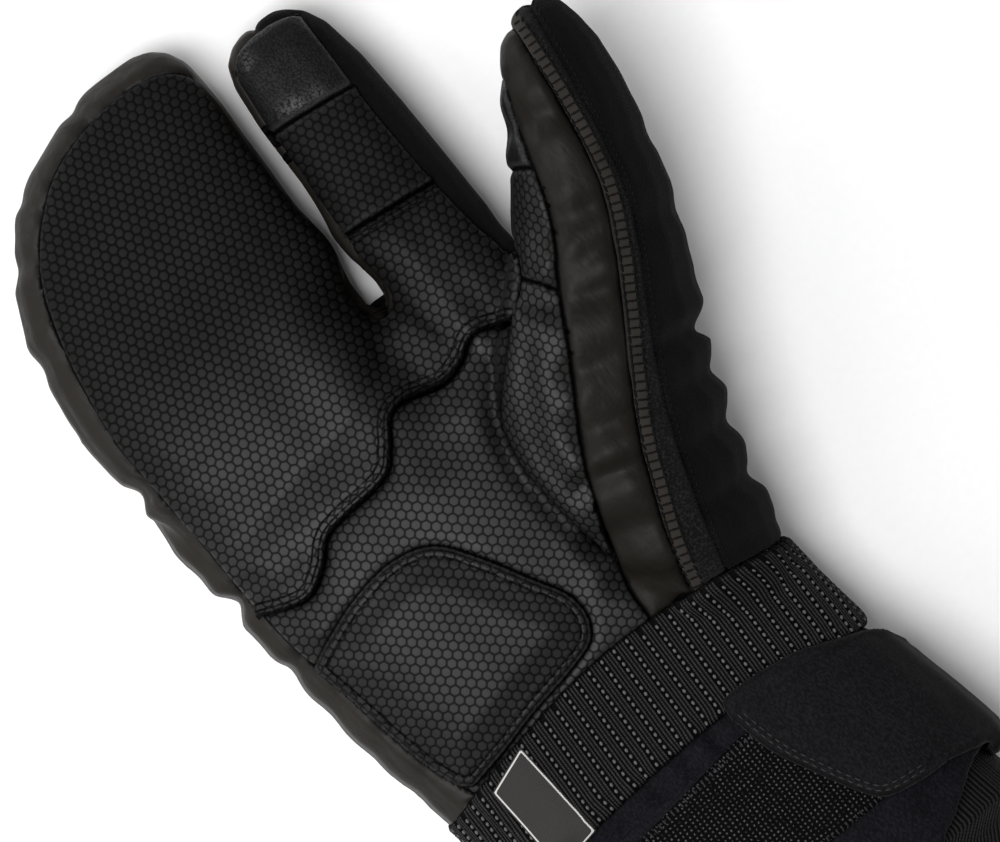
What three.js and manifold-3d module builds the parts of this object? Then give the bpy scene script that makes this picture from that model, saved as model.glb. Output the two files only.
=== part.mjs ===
// A right-hand split-finger winter cycling glove: index and thumb on their own, three fingers in a mitt.
// It lies on its back, palm up, as if the hand had just left it.
// Millimetres. +Z is out of the palm, +Y runs to the fingertips and +X to the thumb.
// In the tables y = 0 is the finger side of the wrist elastic; the group is then centred on its own box.
import * as THREE from "three";
import * as BufferGeometryUtils from "three/addons/utils/BufferGeometryUtils.js";
import Module from "manifold-3d";

const wasm = await Module();
wasm.setup();

// Driving dimensions
const WALL = 2.6;           // shell, insulation and lining sewn as one wall
const SEAM_GAP = 0.4;       // between two panels that share a seam
const LAYER_GAP = 0.3;      // between a panel and what is sewn onto it
const OVERLAY_RISE = 0.6;   // the upper palm is lapped over the lower one
const HEEL_PAD_THICK = 2.2;
const PATCH_THICK = 1.5;
const TAB_RISE = 4.6;       // outer face of the closure tab above the cuff
const LABEL_THICK = 0.8;
const HEM_WALL = 2.2;
const BACK_SEAM = 7;        // height of the seam between the back and the side walls
const PALM_SEAM = 22;       // the palm panels end here where a side wall is upright
const PAD_SEAM = [12, 0.16]; // the thumb's lower seam: height at y = 0, and its rise per millimetre of y
const FINGER_GAP_X = 10.2;  // plane between the mitt and the index finger
const SLIT_FOOT = 109;      // the slit between the mitt and the index finger ends here
const SLIT_TOP = 175;       // the mitt's seam comes to the slit here
const INDEX_LEFT = 13.4;    // seam between the index finger's front and its side wall
const INDEX_MIDDLE = 26;    // the index finger's two low side walls meet under its middle
const INDEX_SIDE_FOOT = 100; // those walls start here
const THUMB_LEFT = 48.6;    // the thumb's front ends here, beside the index finger
const BACK_START = -28.5;   // the back and the outer side wall start at the elastic's lower edge
const OVERLAY_FOOT = 25;    // what is sewn onto the palm side reaches no lower
const TOP = 90;             // above everything
const FAR = 130;            // beyond every side
const BEYOND_TIPS = 215;    // past the fingertips
const BEYOND_THUMB = 155;   // past the thumb's tip
const SQUARENESS = { hand: 2.5, mitt: 2.9, index: 2.7, thumb: 2.25 }; // 2 is an ellipse
const CLOSEST_ROWS = 0.9;   // cross-sections nearer than this are merged
const FINGER_RING = { outside: evenRing(18), inside: evenRing(12) };
const HAND_RING = { outside: pressedRing(12), inside: pressedRing(7) };
const HEM_FLOOR = 3;        // the hem lies on the cuff's own wall

// Cross-sections, each square to y. A bottom below 0 is pressed flat where the glove rests.
const HAND = [
  { y: -100, left: -64.5, right: 76, bottom: -5, top: 58 },
  { y: -80, left: -61.5, right: 72.5, bottom: -5, top: 56 },
  { y: -60, left: -58.5, right: 67.5, bottom: -4, top: 53.5 },
  { y: -33, left: -55, right: 61, bottom: -4, top: 48 },
  { y: -25, left: -54, right: 60, bottom: -3, top: 45.5 },
  { y: -12, left: -53, right: 57.8, bottom: -3, top: 42.5 },
  { y: 0, left: -55.3, right: 56.5, bottom: -3, top: 41 },
  { y: 20, left: -60, right: 55, bottom: -3, top: 42 },
  { y: 45, left: -63.2, right: 51.4, bottom: -3, top: 42.5 },
  { y: 53, left: -64.6, right: 50.4, bottom: -3, top: 41.8 },
  { y: 65, left: -65.8, right: 49, bottom: -3, top: 40.4 },
  { y: 76, left: -67.2, right: 48, bottom: -3, top: 38.8 },
  { y: 90, left: -69.2, right: 46.8, bottom: -3, top: 35.5 },
  { y: 102, left: -68.4, right: 45, bottom: -3, top: 29.5 },
  { y: 112, left: -65, right: 42, bottom: -2, top: 20 },
];
const MITT = [
  { y: 74, left: -62, right: 3, bottom: -2, top: 34 },
  { y: 88, left: -65, right: 8, bottom: -2, top: 35.5 },
  { y: 97, left: -66.6, right: 9.4, bottom: -2, top: 36.4 },
  { y: 102, left: -68.9, right: 9.5, bottom: -2, top: 36.2 },
  { y: 112, left: -69.6, right: 9.5, bottom: -2, top: 35.8 },
  { y: 127, left: -71.4, right: 9.5, bottom: -2, top: 35 },
  { y: 144, left: -69.4, right: 9, bottom: -2, top: 34 },
  { y: 154, left: -68.2, right: 9.2, bottom: -2, top: 33.2 },
  { y: 167, left: -62.6, right: 9.2, bottom: -2, top: 31.8 },
  { y: 175, left: -56.8, right: 9.4, bottom: -1, top: 30.5 },
  { y: 183, left: -50.6, right: 9, bottom: 0, top: 28.5 },
  { y: 189, left: -41.8, right: 7.8, bottom: 1.5, top: 26 },
  { y: 193.5, left: -31.5, right: 5.2, bottom: 4, top: 22.5 },
  { y: 196.5, left: -22.5, right: 1.5, bottom: 7, top: 18.5 },
  { y: 198, left: -17, right: -3, bottom: 9.5, top: 16 },
];
const INDEX = [
  { y: 72, left: 17, right: 43, bottom: -1, top: 35 },
  { y: 90, left: 13, right: 45.4, bottom: -1, top: 35.4 },
  { y: 98, left: 11.3, right: 46.9, bottom: -1, top: 35 },
  { y: 113, left: 10.9, right: 46.7, bottom: -1, top: 34 },
  { y: 130, left: 11.6, right: 46.2, bottom: -1, top: 32.3 },
  { y: 148, left: 12.1, right: 45.4, bottom: -1, top: 30.8 },
  { y: 164, left: 11.9, right: 44.2, bottom: 0, top: 29.6 },
  { y: 176, left: 12.8, right: 42, bottom: 1.2, top: 28 },
  { y: 181.5, left: 15.2, right: 39.3, bottom: 3.5, top: 25.5 },
  { y: 184.3, left: 18.8, right: 36, bottom: 6.5, top: 22 },
  { y: 185.8, left: 23, right: 33, bottom: 9.5, top: 18.5 },
];
const THUMB = [
  { y: -6, left: 28, right: 53, bottom: 8, top: 38 },
  { y: 4, left: 21, right: 57.6, bottom: 3, top: 45.5 },
  { y: 14, left: 16.5, right: 60.4, bottom: 2, top: 50 },
  { y: 27, left: 15, right: 63.2, bottom: 2, top: 53.5 },
  { y: 41, left: 12.7, right: 67.4, bottom: 3, top: 56.5 },
  { y: 53, left: 12, right: 71.2, bottom: 4.5, top: 58 },
  { y: 62, left: 14, right: 75.6, bottom: 7, top: 59.3 },
  { y: 72, left: 19, right: 79.3, bottom: 10, top: 60.5 },
  { y: 82, left: 27, right: 83.2, bottom: 13, top: 61.4 },
  { y: 92, left: 38, right: 86.8, bottom: 16, top: 62 },
  { y: 101, left: 46.5, right: 88.6, bottom: 19, top: 62.6 },
  { y: 110, left: 52.6, right: 90.6, bottom: 22, top: 63 },
  { y: 120, left: 58.4, right: 92.3, bottom: 25.5, top: 63.2 },
  { y: 130, left: 64.4, right: 92.9, bottom: 29, top: 63 },
  { y: 137, left: 68.8, right: 92.1, bottom: 32, top: 62 },
  { y: 142, left: 73, right: 90.8, bottom: 35.5, top: 60 },
  { y: 145, left: 77.2, right: 89.2, bottom: 39.5, top: 57 },
  { y: 146.3, left: 80.5, right: 87.3, bottom: 43, top: 53.5 },
];
// The ribbed hem, tucked into the cuff and drawn in below it by its elastic.
const HEM = [
  { y: -94, left: -54, right: 62, bottom: -2, top: 46 },
  { y: -86, left: -55.5, right: 64.5, bottom: -3, top: 49 },
  { y: -81, left: -58, right: 69, bottom: -4.5, top: 52.6 },
  { y: -64, left: -55.8, right: 65.2, bottom: -4, top: 50.8 },
];

// Folds: how far a side is pressed in at y, fading out over reach on both sides.
const HAND_FOLDS = [
  { y: -29, reach: 4, left: 1, top: 1.2 },
  { y: 49, reach: 4, left: 1 },
  { y: 70.5, reach: 5.5, left: 3 },
  { y: 107, reach: 5, left: 2.2 },
];
const MITT_FOLDS = [
  { y: 107, reach: 5, left: 2.6 },
  { y: 149, reach: 5, left: 0.9 },
  { y: 171, reach: 4, left: 1.3 },
];
const THUMB_FOLDS = [
  { y: 20.5, reach: 6.5, right: 2.6, top: 0.8 },
  { y: 34, reach: 7, right: 2.6 },
  { y: 47, reach: 6, right: 2.2 },
  { y: 57.5, reach: 4.5, right: 3.6, top: 1 },
  { y: 87, reach: 5, top: 1.6 },
];

// Seams in plan, each a spline through a few points
const HEEL_SEAM = seam([[-44, -4], [-50, 12], [-55, 35], [-58.5, 50], [-60.6, 64.5]], 8);
const MITT_SEAM = seam([[-60.6, 64.5], [-61.6, 80], [-63, 100], [-64.2, 120], [-62.5, 138], [-59.5, 153],
  [-54.5, 166.5], [-46, 177.5], [-35, 186], [-21, 190.6], [-8, 191.6], [1, 189.8], [6.5, 185], [8.6, 177]], 16);
const WAVY_EDGE = seam([[-60.6, 64.5], [-48, 61], [-40, 65], [-33, 71], [-15, 73.5], [-9, 78.5], [-4, 85.2],
  [2, 86.2], [11, 84], [18, 85.5], [25, 89.3], [34.5, 86]], 18);
const THUMB_CREASE = seam([[34.5, 86], [26, 77.5], [18, 68], [15.2, 57], [15.6, 47], [17.4, 34], [19.4, 22]], 8);
const INDEX_SEAM = seam([[38.3, 192], [38.6, 172], [38.8, 150], [40.3, 126.2], [41.8, 113], [44.8, 98]], 7);
const STRIP_FOOT = seam([[18, 5.6], [18.2, 14], [19.4, 22]], 3);
const STRIP_LOW = seam([[19.4, 22], [23.8, 38], [30, 52], [40, 70], [47.6, 84.8]], 5);
const STRIP_MID = seam([[47.6, 84.8], [53, 93.6], [57, 102], [60.3, 112.8]], 3);
const STRIP_TIP = seam([[60.3, 112.8], [64, 125], [69, 137], [74, 150]], 4);
const STRIP_RIGHT = seam([[30, 5.2], [32.5, 17], [38, 33], [43, 45.5], [50, 58], [60, 75], [66, 86],
  [71.5, 99], [74, 112], [75.6, 126], [77.2, 150]], 10);
const WIPE_RIGHT = seam([[40.5, 4.4], [44, 20], [49, 37], [55, 52], [63, 68], [70, 81], [75, 92],
  [78.5, 106], [80.8, 121], [84.5, 150]], 10);
const BAND_TOP = seam([[-44, -4], [-28, 0.4], [-8, 4.4], [8, 5.8], [18, 5.6], [30, 5.2], [40.5, 4.4],
  [56, 1.2], [FAR, -14]], 10);
const BAND_BOTTOM = seam([[-38, -28.5], [-24, -27], [-8, -25], [10, -23.6], [28, -23.4], [46, -25.6],
  [62, -29], [FAR, -44]], 8);
const HEM_EDGE = seam([[-FAR, -81], [-50, -81], [34, -81], [46, -79], [56, -73.5], [65, -69.5], [FAR, -66]], 11);
const HEEL_PAD_EDGE = seam([[-57.6, 45.6], [-48, 50.4], [-38, 54], [-26, 55.9], [-15, 53.2], [-7.5, 44.5],
  [0, 32], [5, 23.5], [5.8, 16.5], [2.5, 10.6], [-6, 7.6], [-18, 5], [-30, 1.6], [-42.6, -1.6]], 18);

// Corners where seams meet
const INDEX_DOUBLE = [[INDEX_LEFT, 128.6], [40.3, 126.2]];
const INDEX_CAP = [[INDEX_LEFT, 160.4], [38.75, 157.8]];
const THUMB_ROOT = [42, 93];
const THUMB_SIDE = [[44.8, 98], [47.6, 101.5], [THUMB_LEFT, 110]];
const THUMB_CAP = [THUMB_LEFT, 122.5];

function seam(points, steps) {
  return new THREE.SplineCurve(points.map(([x, y]) => new THREE.Vector2(x, y))).getPoints(steps);
}

function outline(...parts) {
  const points = parts.flatMap((part) => (Array.isArray(part[0]) || part[0].isVector2 ? part : [part]));
  const vectors = points.map((p) => (p.isVector2 ? p : new THREE.Vector2(p[0], p[1])));
  const apart = vectors.filter((p, i) => p.distanceTo(vectors[(i + 1) % vectors.length]) > 0.05);
  return THREE.ShapeUtils.area(apart) < 0 ? apart.reverse() : apart;
}

// The points of a seam from one y to another.
function stretch(points, low, high) {
  return points.filter((p) => p.y > low && p.y < high);
}

function reversed(points) {
  return [...points].reverse();
}

// Moves each side of a counter-clockwise outline inward by distance.
function inset(points, distance) {
  return points.map((point, i) => {
    const before = points[(i + points.length - 1) % points.length];
    const after = points[(i + 1) % points.length];
    const normals = [[before, point], [point, after]].map(([a, b]) => {
      const side = b.clone().sub(a).normalize();
      return new THREE.Vector2(-side.y, side.x);
    });
    const miter = normals[0].clone().add(normals[1]);
    return point.clone().addScaledVector(miter, distance / Math.max(0.3, 1 + normals[0].dot(normals[1])));
  });
}

function solidFromGeometry(geometry) {
  const bare = geometry.clone();
  bare.deleteAttribute("normal");
  bare.deleteAttribute("uv");
  const merged = BufferGeometryUtils.mergeVertices(bare, 1e-4);
  return new wasm.Manifold(new wasm.Mesh({
    numProp: 3,
    vertProperties: new Float32Array(merged.attributes.position.array),
    triVerts: new Uint32Array(merged.index.array),
  }));
}

function prism(points, low, high, pulledIn = SEAM_GAP / 2) {
  const shape = new THREE.Shape(inset(points, pulledIn));
  const geometry = new THREE.ExtrudeGeometry(shape, { depth: high - low, bevelEnabled: false });
  return solidFromGeometry(geometry.translate(0, 0, low));
}

// A body with one outline in the y-z plane, running across the whole glove.
function acrossX(pointsYZ) {
  const shape = new THREE.Shape(pointsYZ.map(([y, z]) => new THREE.Vector2(y, z)));
  const geometry = new THREE.ExtrudeGeometry(shape, { depth: 2 * FAR, bevelEnabled: false });
  geometry.translate(0, 0, -FAR);
  const columns = new THREE.Matrix4().makeBasis(
    new THREE.Vector3(0, 1, 0), new THREE.Vector3(0, 0, 1), new THREE.Vector3(1, 0, 0));
  return solidFromGeometry(geometry.applyMatrix4(columns));
}

// Angles round a cross-section, from the +X side over the palm.
function evenRing(flats) {
  return Array.from({ length: flats }, (_, k) => (2 * Math.PI * k) / flats);
}

// The same over the palm, with few points under the back, which is pressed flat.
function pressedRing(palmFlats) {
  const palm = Array.from({ length: palmFlats + 1 }, (_, k) => (Math.PI * k) / palmFlats);
  return [...palm, ...[195, 215, 240, 300, 325, 345].map(THREE.MathUtils.degToRad)];
}

function rowAt(table, folds, y) {
  const next = Math.max(1, table.findIndex((row) => row.y >= y));
  const [a, b] = [table[next - 1], table[next]];
  const share = (y - a.y) / (b.y - a.y);
  const row = { y };
  for (const side of ["left", "right", "bottom", "top"]) row[side] = a[side] + (b[side] - a[side]) * share;
  for (const fold of folds) {
    const strength = Math.max(0, 1 - Math.abs(y - fold.y) / fold.reach);
    row.left += strength * (fold.left ?? 0);
    row.right -= strength * (fold.right ?? 0);
    row.top -= strength * (fold.top ?? 0);
  }
  return row;
}

function stations(table, folds) {
  const [first, last] = [table[0].y, table[table.length - 1].y];
  const wanted = [...table.map((row) => row.y), ...folds.flatMap((f) => [f.y - f.reach, f.y, f.y + f.reach])];
  const sorted = wanted.filter((y) => y >= first && y <= last).sort((a, b) => a - b);
  return sorted.filter((y, i) => i === sorted.length - 1 || sorted[i + 1] - y > CLOSEST_ROWS);
}

// A closed body through superellipse sections, moved outward by offset (inward where negative).
function loft(table, { folds = [], ring, squareness, offset, lowest = 0 }) {
  const angles = offset < 0 ? ring.inside : ring.outside;
  const sides = angles.length;
  const rows = stations(table, folds).map((y) => rowAt(table, folds, y));
  const girth = (row) => (row.right - row.left + row.top - row.bottom) / 4;
  const floor = Math.max(0, lowest - offset);
  const positions = [];
  rows.forEach((row, i) => {
    const [a, b] = [rows[Math.max(0, i - 1)], rows[Math.min(rows.length - 1, i + 1)]];
    const taper = (girth(a) - girth(b)) / (b.y - a.y);
    const lean = taper / Math.hypot(1, taper);
    const outward = offset * Math.sqrt(1 - lean * lean);
    const centre = [(row.left + row.right) / 2, (row.bottom + row.top) / 2];
    const half = [(row.right - row.left) / 2 + outward, (row.top - row.bottom) / 2 + outward];
    for (const angle of angles) {
      const [c, s] = [Math.cos(angle), Math.sin(angle)];
      positions.push(
        centre[0] + half[0] * Math.sign(c) * Math.abs(c) ** (2 / squareness),
        row.y + offset * lean,
        Math.max(floor, centre[1] + half[1] * Math.sign(s) * Math.abs(s) ** (2 / squareness)));
    }
  });
  const index = [];
  for (let i = 0; i + 1 < rows.length; i++) {
    for (let k = 0; k < sides; k++) {
      const [p, q] = [i * sides + k, i * sides + (k + 1) % sides];
      index.push(p, p + sides, q, q, p + sides, q + sides);
    }
  }
  const lastRing = (rows.length - 1) * sides;
  for (let k = 1; k + 1 < sides; k++) {
    index.push(0, k, k + 1);
    index.push(lastRing, lastRing + k + 1, lastRing + k);
  }
  const geometry = new THREE.BufferGeometry();
  geometry.setAttribute("position", new THREE.Float32BufferAttribute(positions, 3));
  geometry.setIndex(index);
  return solidFromGeometry(geometry);
}

// The whole glove as one body, with its surface moved outward by offset.
const bodies = new Map();
function body(offset) {
  if (!bodies.has(offset)) {
    const hand = loft(HAND, { folds: HAND_FOLDS, ring: HAND_RING, squareness: SQUARENESS.hand, offset });
    const mitt = loft(MITT, { folds: MITT_FOLDS, ring: HAND_RING, squareness: SQUARENESS.mitt, offset });
    const index = loft(INDEX, { ring: FINGER_RING, squareness: SQUARENESS.index, offset });
    const thumb = loft(THUMB, { folds: THUMB_FOLDS, ring: FINGER_RING, squareness: SQUARENESS.thumb, offset });
    bodies.set(offset, hand.add(mitt).add(index).add(thumb));
  }
  return bodies.get(offset);
}

function layer(inner, outer) {
  return body(outer).subtract(body(inner));
}

function largest(solid) {
  return solid.decompose().sort((a, b) => b.volume() - a.volume())[0];
}

// Plan outlines of the regions
const UPPER_PALM = outline(MITT_SEAM, [FINGER_GAP_X, SLIT_TOP], [FINGER_GAP_X, SLIT_FOOT],
  [INDEX_LEFT, SLIT_FOOT], INDEX_DOUBLE, stretch(INDEX_SEAM, 0, 126), THUMB_ROOT, reversed(WAVY_EDGE));
const LOWER_PALM = outline(WAVY_EDGE, THUMB_CREASE, reversed(STRIP_FOOT),
  reversed(BAND_TOP.filter((p) => p.x < STRIP_FOOT[0].x)), HEEL_SEAM);
const INDEX_PALM = outline(INDEX_DOUBLE[0], INDEX_CAP, stretch(INDEX_SEAM, 127, 157), INDEX_DOUBLE[1]);
const INDEX_TIP = outline(INDEX_CAP[0], [INDEX_LEFT, 192], stretch(INDEX_SEAM, 159, BEYOND_TIPS), INDEX_CAP[1]);
const INDEX_BACK_SIDE = outline(INDEX_SEAM, THUMB_SIDE, [THUMB_LEFT, 192]);
const THUMB_GUSSET = outline(THUMB_CREASE, STRIP_LOW, THUMB_ROOT);
const THUMB_MID = outline(THUMB_ROOT, STRIP_MID, THUMB_CAP, reversed(THUMB_SIDE));
const THUMB_TIP = outline(STRIP_TIP, [THUMB_LEFT, 150], THUMB_CAP);
const SIDE_STRIP = outline(STRIP_FOOT, STRIP_LOW, STRIP_MID, STRIP_TIP, reversed(STRIP_RIGHT));
const WIPE = outline(STRIP_RIGHT, reversed(WIPE_RIGHT));
const THUMB_ALL = outline(STRIP_FOOT, reversed(THUMB_CREASE), THUMB_ROOT, THUMB_SIDE,
  [THUMB_LEFT, BEYOND_THUMB], [FAR, BEYOND_THUMB], reversed(BAND_TOP.filter((p) => p.x > STRIP_FOOT[0].x)));
const BAND = outline(BAND_TOP, reversed(BAND_BOTTOM));
const CUFF = outline([-FAR, BACK_START], BAND_BOTTOM, reversed(HEM_EDGE));
const PATCH = outline([-40, -38], [-15, -35.6], [2, -32.8], [17, -30.6], [44, -31.6], [46, -34], [45.4, -61],
  [43, -63], [18, -63.4], [-10, -64.6], [-37, -66], [-41, -63], [-42, -41]);
const TAB = outline(seam([[18.6, -25], [19, -21.8], [22, -20.6], [31, -20.8], [42, -22.6], [54, -26.6],
  [61, -29.4], [65, -33], [FAR, -48]], 14), [FAR, -82], seam([[80, -72], [62, -67.6], [50, -65.4], [40.4, -64],
  [36.2, -62], [32.6, -57.4], [27.4, -48.6], [22, -37.6]], 12));
const LABEL = outline([-39.6, -5.4], [-27, -0.2], [-24, -27.6], [-37, -31.4]);
const BACK = outline([-FAR, BACK_START], BAND_BOTTOM, [FAR, BEYOND_TIPS], [-FAR, BEYOND_TIPS]);
const HEEL_PAD = outline(HEEL_PAD_EDGE, stretch(HEEL_SEAM, 1, 44));

// Pieces
const shell = layer(-WALL, 0);
const raisedShell = layer(-WALL, OVERLAY_RISE);
const backTop = BACK_SEAM - SEAM_GAP / 2;
const sideFoot = BACK_SEAM + SEAM_GAP / 2;
const wallTop = PALM_SEAM - SEAM_GAP / 2;
const palmFoot = PALM_SEAM + SEAM_GAP / 2;

function panel(points, source = shell, low = palmFoot) {
  return source.intersect(prism(points, low, TOP));
}

// The part of the thumb above its lower seam, which climbs towards the tip.
function aboveThumbSeam(lift) {
  const height = (y) => PAD_SEAM[0] + PAD_SEAM[1] * y + lift;
  return acrossX([[-FAR, height(-FAR)], [2 * FAR, height(2 * FAR)], [2 * FAR, TOP], [-FAR, TOP]]);
}

function thumbPanel(points) {
  return panel(points, shell, sideFoot).intersect(aboveThumbSeam(SEAM_GAP / 2));
}

function thumbBack() {
  const fronts = [THUMB_GUSSET, THUMB_MID, THUMB_TIP, SIDE_STRIP, WIPE]
    .map((points) => prism(points, 0, TOP, -SEAM_GAP / 2))
    .reduce((a, b) => a.add(b))
    .intersect(aboveThumbSeam(-SEAM_GAP / 2));
  return panel(THUMB_ALL, shell, sideFoot).subtract(fronts);
}

function outerSideWall() {
  const left = outline([-FAR, BACK_START], [FINGER_GAP_X, BACK_START], [FINGER_GAP_X, BEYOND_TIPS],
    [-FAR, BEYOND_TIPS]);
  const fronts = [UPPER_PALM, LOWER_PALM].map((points) => prism(points, wallTop, TOP, -SEAM_GAP / 2));
  const band = prism(BAND, 0, TOP, -SEAM_GAP / 2);
  return panel(left, shell, sideFoot).subtract(fronts[0]).subtract(fronts[1]).subtract(band);
}

function indexSideWall() {
  const low = outline([FINGER_GAP_X, INDEX_SIDE_FOOT], [INDEX_MIDDLE, INDEX_SIDE_FOOT],
    [INDEX_MIDDLE, BEYOND_TIPS], [FINGER_GAP_X, BEYOND_TIPS]);
  const high = outline([FINGER_GAP_X, SLIT_FOOT], [INDEX_LEFT, SLIT_FOOT],
    [INDEX_LEFT, BEYOND_TIPS], [FINGER_GAP_X, BEYOND_TIPS]);
  return shell.intersect(prism(low, sideFoot, wallTop).add(prism(high, sideFoot, TOP)));
}

function handBack() {
  const lowSide = outline([INDEX_MIDDLE, INDEX_SIDE_FOOT], [THUMB_LEFT, 106], [THUMB_LEFT, BEYOND_TIPS],
    [INDEX_MIDDLE, BEYOND_TIPS]);
  const side = prism(INDEX_BACK_SIDE, 0, TOP).add(prism(lowSide, 0, wallTop));
  return shell.intersect(prism(BACK, -1, backTop).add(side));
}

function hemBand() {
  const shape = { ring: HAND_RING, squareness: SQUARENESS.hand, lowest: HEM_FLOOR };
  const [mouth, tucked] = [HEM[0], HEM[HEM.length - 1]];
  const pastEnds = 3 * HEM_WALL;
  const through = [{ ...mouth, y: mouth.y - pastEnds }, ...HEM, { ...tucked, y: tucked.y + pastEnds }];
  const ring = loft(HEM, { ...shape, offset: 0 }).subtract(loft(through, { ...shape, offset: -HEM_WALL }));
  return ring.intersect(body(-WALL - LAYER_GAP));
}

function closureTab() {
  const over = layer(OVERLAY_RISE + LAYER_GAP, TAB_RISE).intersect(prism(TAB, sideFoot, TOP, 0));
  const patch = layer(0, LAYER_GAP + PATCH_THICK + LAYER_GAP).intersect(prism(PATCH, sideFoot, TOP, -SEAM_GAP));
  return over.subtract(patch);
}

function overlay(points, start, thick) {
  return layer(start, start + thick).intersect(prism(points, OVERLAY_FOOT, TOP, 0));
}

const leather = { color: 0x1b1b1d, roughness: 0.55, metalness: 0 };
const pebbledLeather = { color: 0x202022, roughness: 0.42, metalness: 0 };
const taupe = { color: 0x4a4340, roughness: 0.6, metalness: 0 };
const knit = { color: 0x151516, roughness: 0.85, metalness: 0 };
const fleece = { color: 0x232322, roughness: 0.95, metalness: 0 };
const elastic = { color: 0x2a2a2a, roughness: 0.8, metalness: 0 };
const softshell = { color: 0x24242b, roughness: 0.8, metalness: 0 };
const woven = { color: 0x3a3a3a, roughness: 0.7, metalness: 0 };

const glove = new THREE.Group();

function addPiece(name, solid, finish) {
  const mesh = largest(solid).getMesh();
  const geometry = new THREE.BufferGeometry();
  geometry.setAttribute("position", new THREE.BufferAttribute(new Float32Array(mesh.vertProperties), 3));
  geometry.setIndex(new THREE.BufferAttribute(new Uint32Array(mesh.triVerts), 1));
  geometry.computeVertexNormals();
  const piece = new THREE.Mesh(geometry, new THREE.MeshStandardMaterial(finish));
  piece.name = name;
  glove.add(piece);
}

addPiece("upper_palm", panel(UPPER_PALM, raisedShell), leather);
addPiece("lower_palm", panel(LOWER_PALM), leather);
addPiece("heel_pad", overlay(HEEL_PAD, LAYER_GAP, HEEL_PAD_THICK), leather);
addPiece("index_palm", panel(INDEX_PALM), leather);
addPiece("index_tip_pad", panel(INDEX_TIP), pebbledLeather);
addPiece("thumb_gusset", thumbPanel(THUMB_GUSSET), leather);
addPiece("thumb_mid_palm", thumbPanel(THUMB_MID), leather);
addPiece("thumb_tip_pad", thumbPanel(THUMB_TIP), pebbledLeather);
addPiece("thumb_side_strip", thumbPanel(SIDE_STRIP), taupe);
addPiece("thumb_wipe", thumbPanel(WIPE), fleece);
addPiece("thumb_back", thumbBack(), knit);
addPiece("outer_side_wall", outerSideWall(), taupe);
addPiece("index_side_wall", indexSideWall(), taupe);
addPiece("hand_back", handBack(), knit);
addPiece("wrist_band", panel(BAND, raisedShell, sideFoot), elastic);
addPiece("cuff", shell.intersect(prism(CUFF, -1, TOP)), softshell);
addPiece("hem_band", hemBand(), elastic);
addPiece("loop_patch", overlay(PATCH, LAYER_GAP, PATCH_THICK), elastic);
addPiece("closure_tab", closureTab(), softshell);
addPiece("label", overlay(LABEL, OVERLAY_RISE + LAYER_GAP, LABEL_THICK), woven);

const box = new THREE.Box3().setFromObject(glove);
const middle = box.getCenter(new THREE.Vector3());
glove.position.set(-middle.x, -middle.y, -box.min.z);

export default glove;
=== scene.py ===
# %% [markdown]
# # A winter cycling glove, lying palm up
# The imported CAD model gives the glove's form, its place and the lines where its panels meet. This script
# dresses it: one smooth skin is made from the CAD panels, cut along the seams of the sewing pattern, and
# each panel gets its turned edge, its stitches and its cloth. The skin could be modelled again by hand,
# but then every panel would have to be fitted to its neighbours. Cutting one skin keeps them together.

# %% Load the frame
import math

import bmesh
import bpy
import numpy as np
from mathutils import Matrix, Vector
from mathutils.bvhtree import BVHTree
from mathutils.kdtree import KDTree


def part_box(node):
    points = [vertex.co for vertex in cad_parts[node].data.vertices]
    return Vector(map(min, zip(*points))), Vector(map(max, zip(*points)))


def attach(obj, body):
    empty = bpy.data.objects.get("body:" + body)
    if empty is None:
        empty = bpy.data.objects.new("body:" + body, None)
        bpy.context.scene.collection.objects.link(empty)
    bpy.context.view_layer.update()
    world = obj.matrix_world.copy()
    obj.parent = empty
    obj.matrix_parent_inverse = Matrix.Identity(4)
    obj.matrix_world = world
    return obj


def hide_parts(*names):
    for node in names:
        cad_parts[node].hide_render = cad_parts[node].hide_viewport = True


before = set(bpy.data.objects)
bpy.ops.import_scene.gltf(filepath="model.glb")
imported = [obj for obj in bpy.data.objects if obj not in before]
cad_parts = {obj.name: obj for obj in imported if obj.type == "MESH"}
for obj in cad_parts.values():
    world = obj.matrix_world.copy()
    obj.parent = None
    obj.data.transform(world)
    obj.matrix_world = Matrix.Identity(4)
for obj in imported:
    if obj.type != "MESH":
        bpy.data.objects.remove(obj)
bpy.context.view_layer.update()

MM = 0.001

# %% [markdown]
# ## The sewing pattern
# A glove is cut flat from a paper pattern, and each seam is a smooth line through a few pattern points. The
# points below are in millimetres on the pattern's own axes: y runs from the wrist elastic to the fingertips,
# and x to the thumb. A curve object could carry each line, but a short list of points is easier to use again
# for cutting, for the stitches and for the turned edges.

# %% Smooth lines through pattern points
PATTERN_ORIGIN = np.array((-10.75, -52.0))


def smooth_line(points, step=1.0):
    """A Catmull-Rom line through the points, with about one point every step millimetres."""
    p = np.array(points, float)
    p = np.vstack((2 * p[0] - p[1], p, 2 * p[-1] - p[-2]))
    out = []
    for a, b, c, d in zip(p[:-3], p[1:-2], p[2:-1], p[3:]):
        steps = max(1, math.ceil(np.linalg.norm(c - b) / step))
        for t in np.arange(steps) / steps:
            out.append(0.5 * (2 * b + (c - a) * t + (2 * a - 5 * b + 4 * c - d) * t ** 2
                              + (3 * b - a - 3 * c + d) * t ** 3))
    return np.array([*out, p[-2]])


def place(x, y, z=0.0):
    """A point of the pattern, in millimetres, as a point of the frame, in metres."""
    return Vector((x + PATTERN_ORIGIN[0], y + PATTERN_ORIGIN[1], z)) * MM


def on_pattern(points):
    """Points of the frame, in metres, as pattern millimetres with their height."""
    out = np.asarray(points, float) / MM
    out[:, :2] -= PATTERN_ORIGIN
    return out


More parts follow.
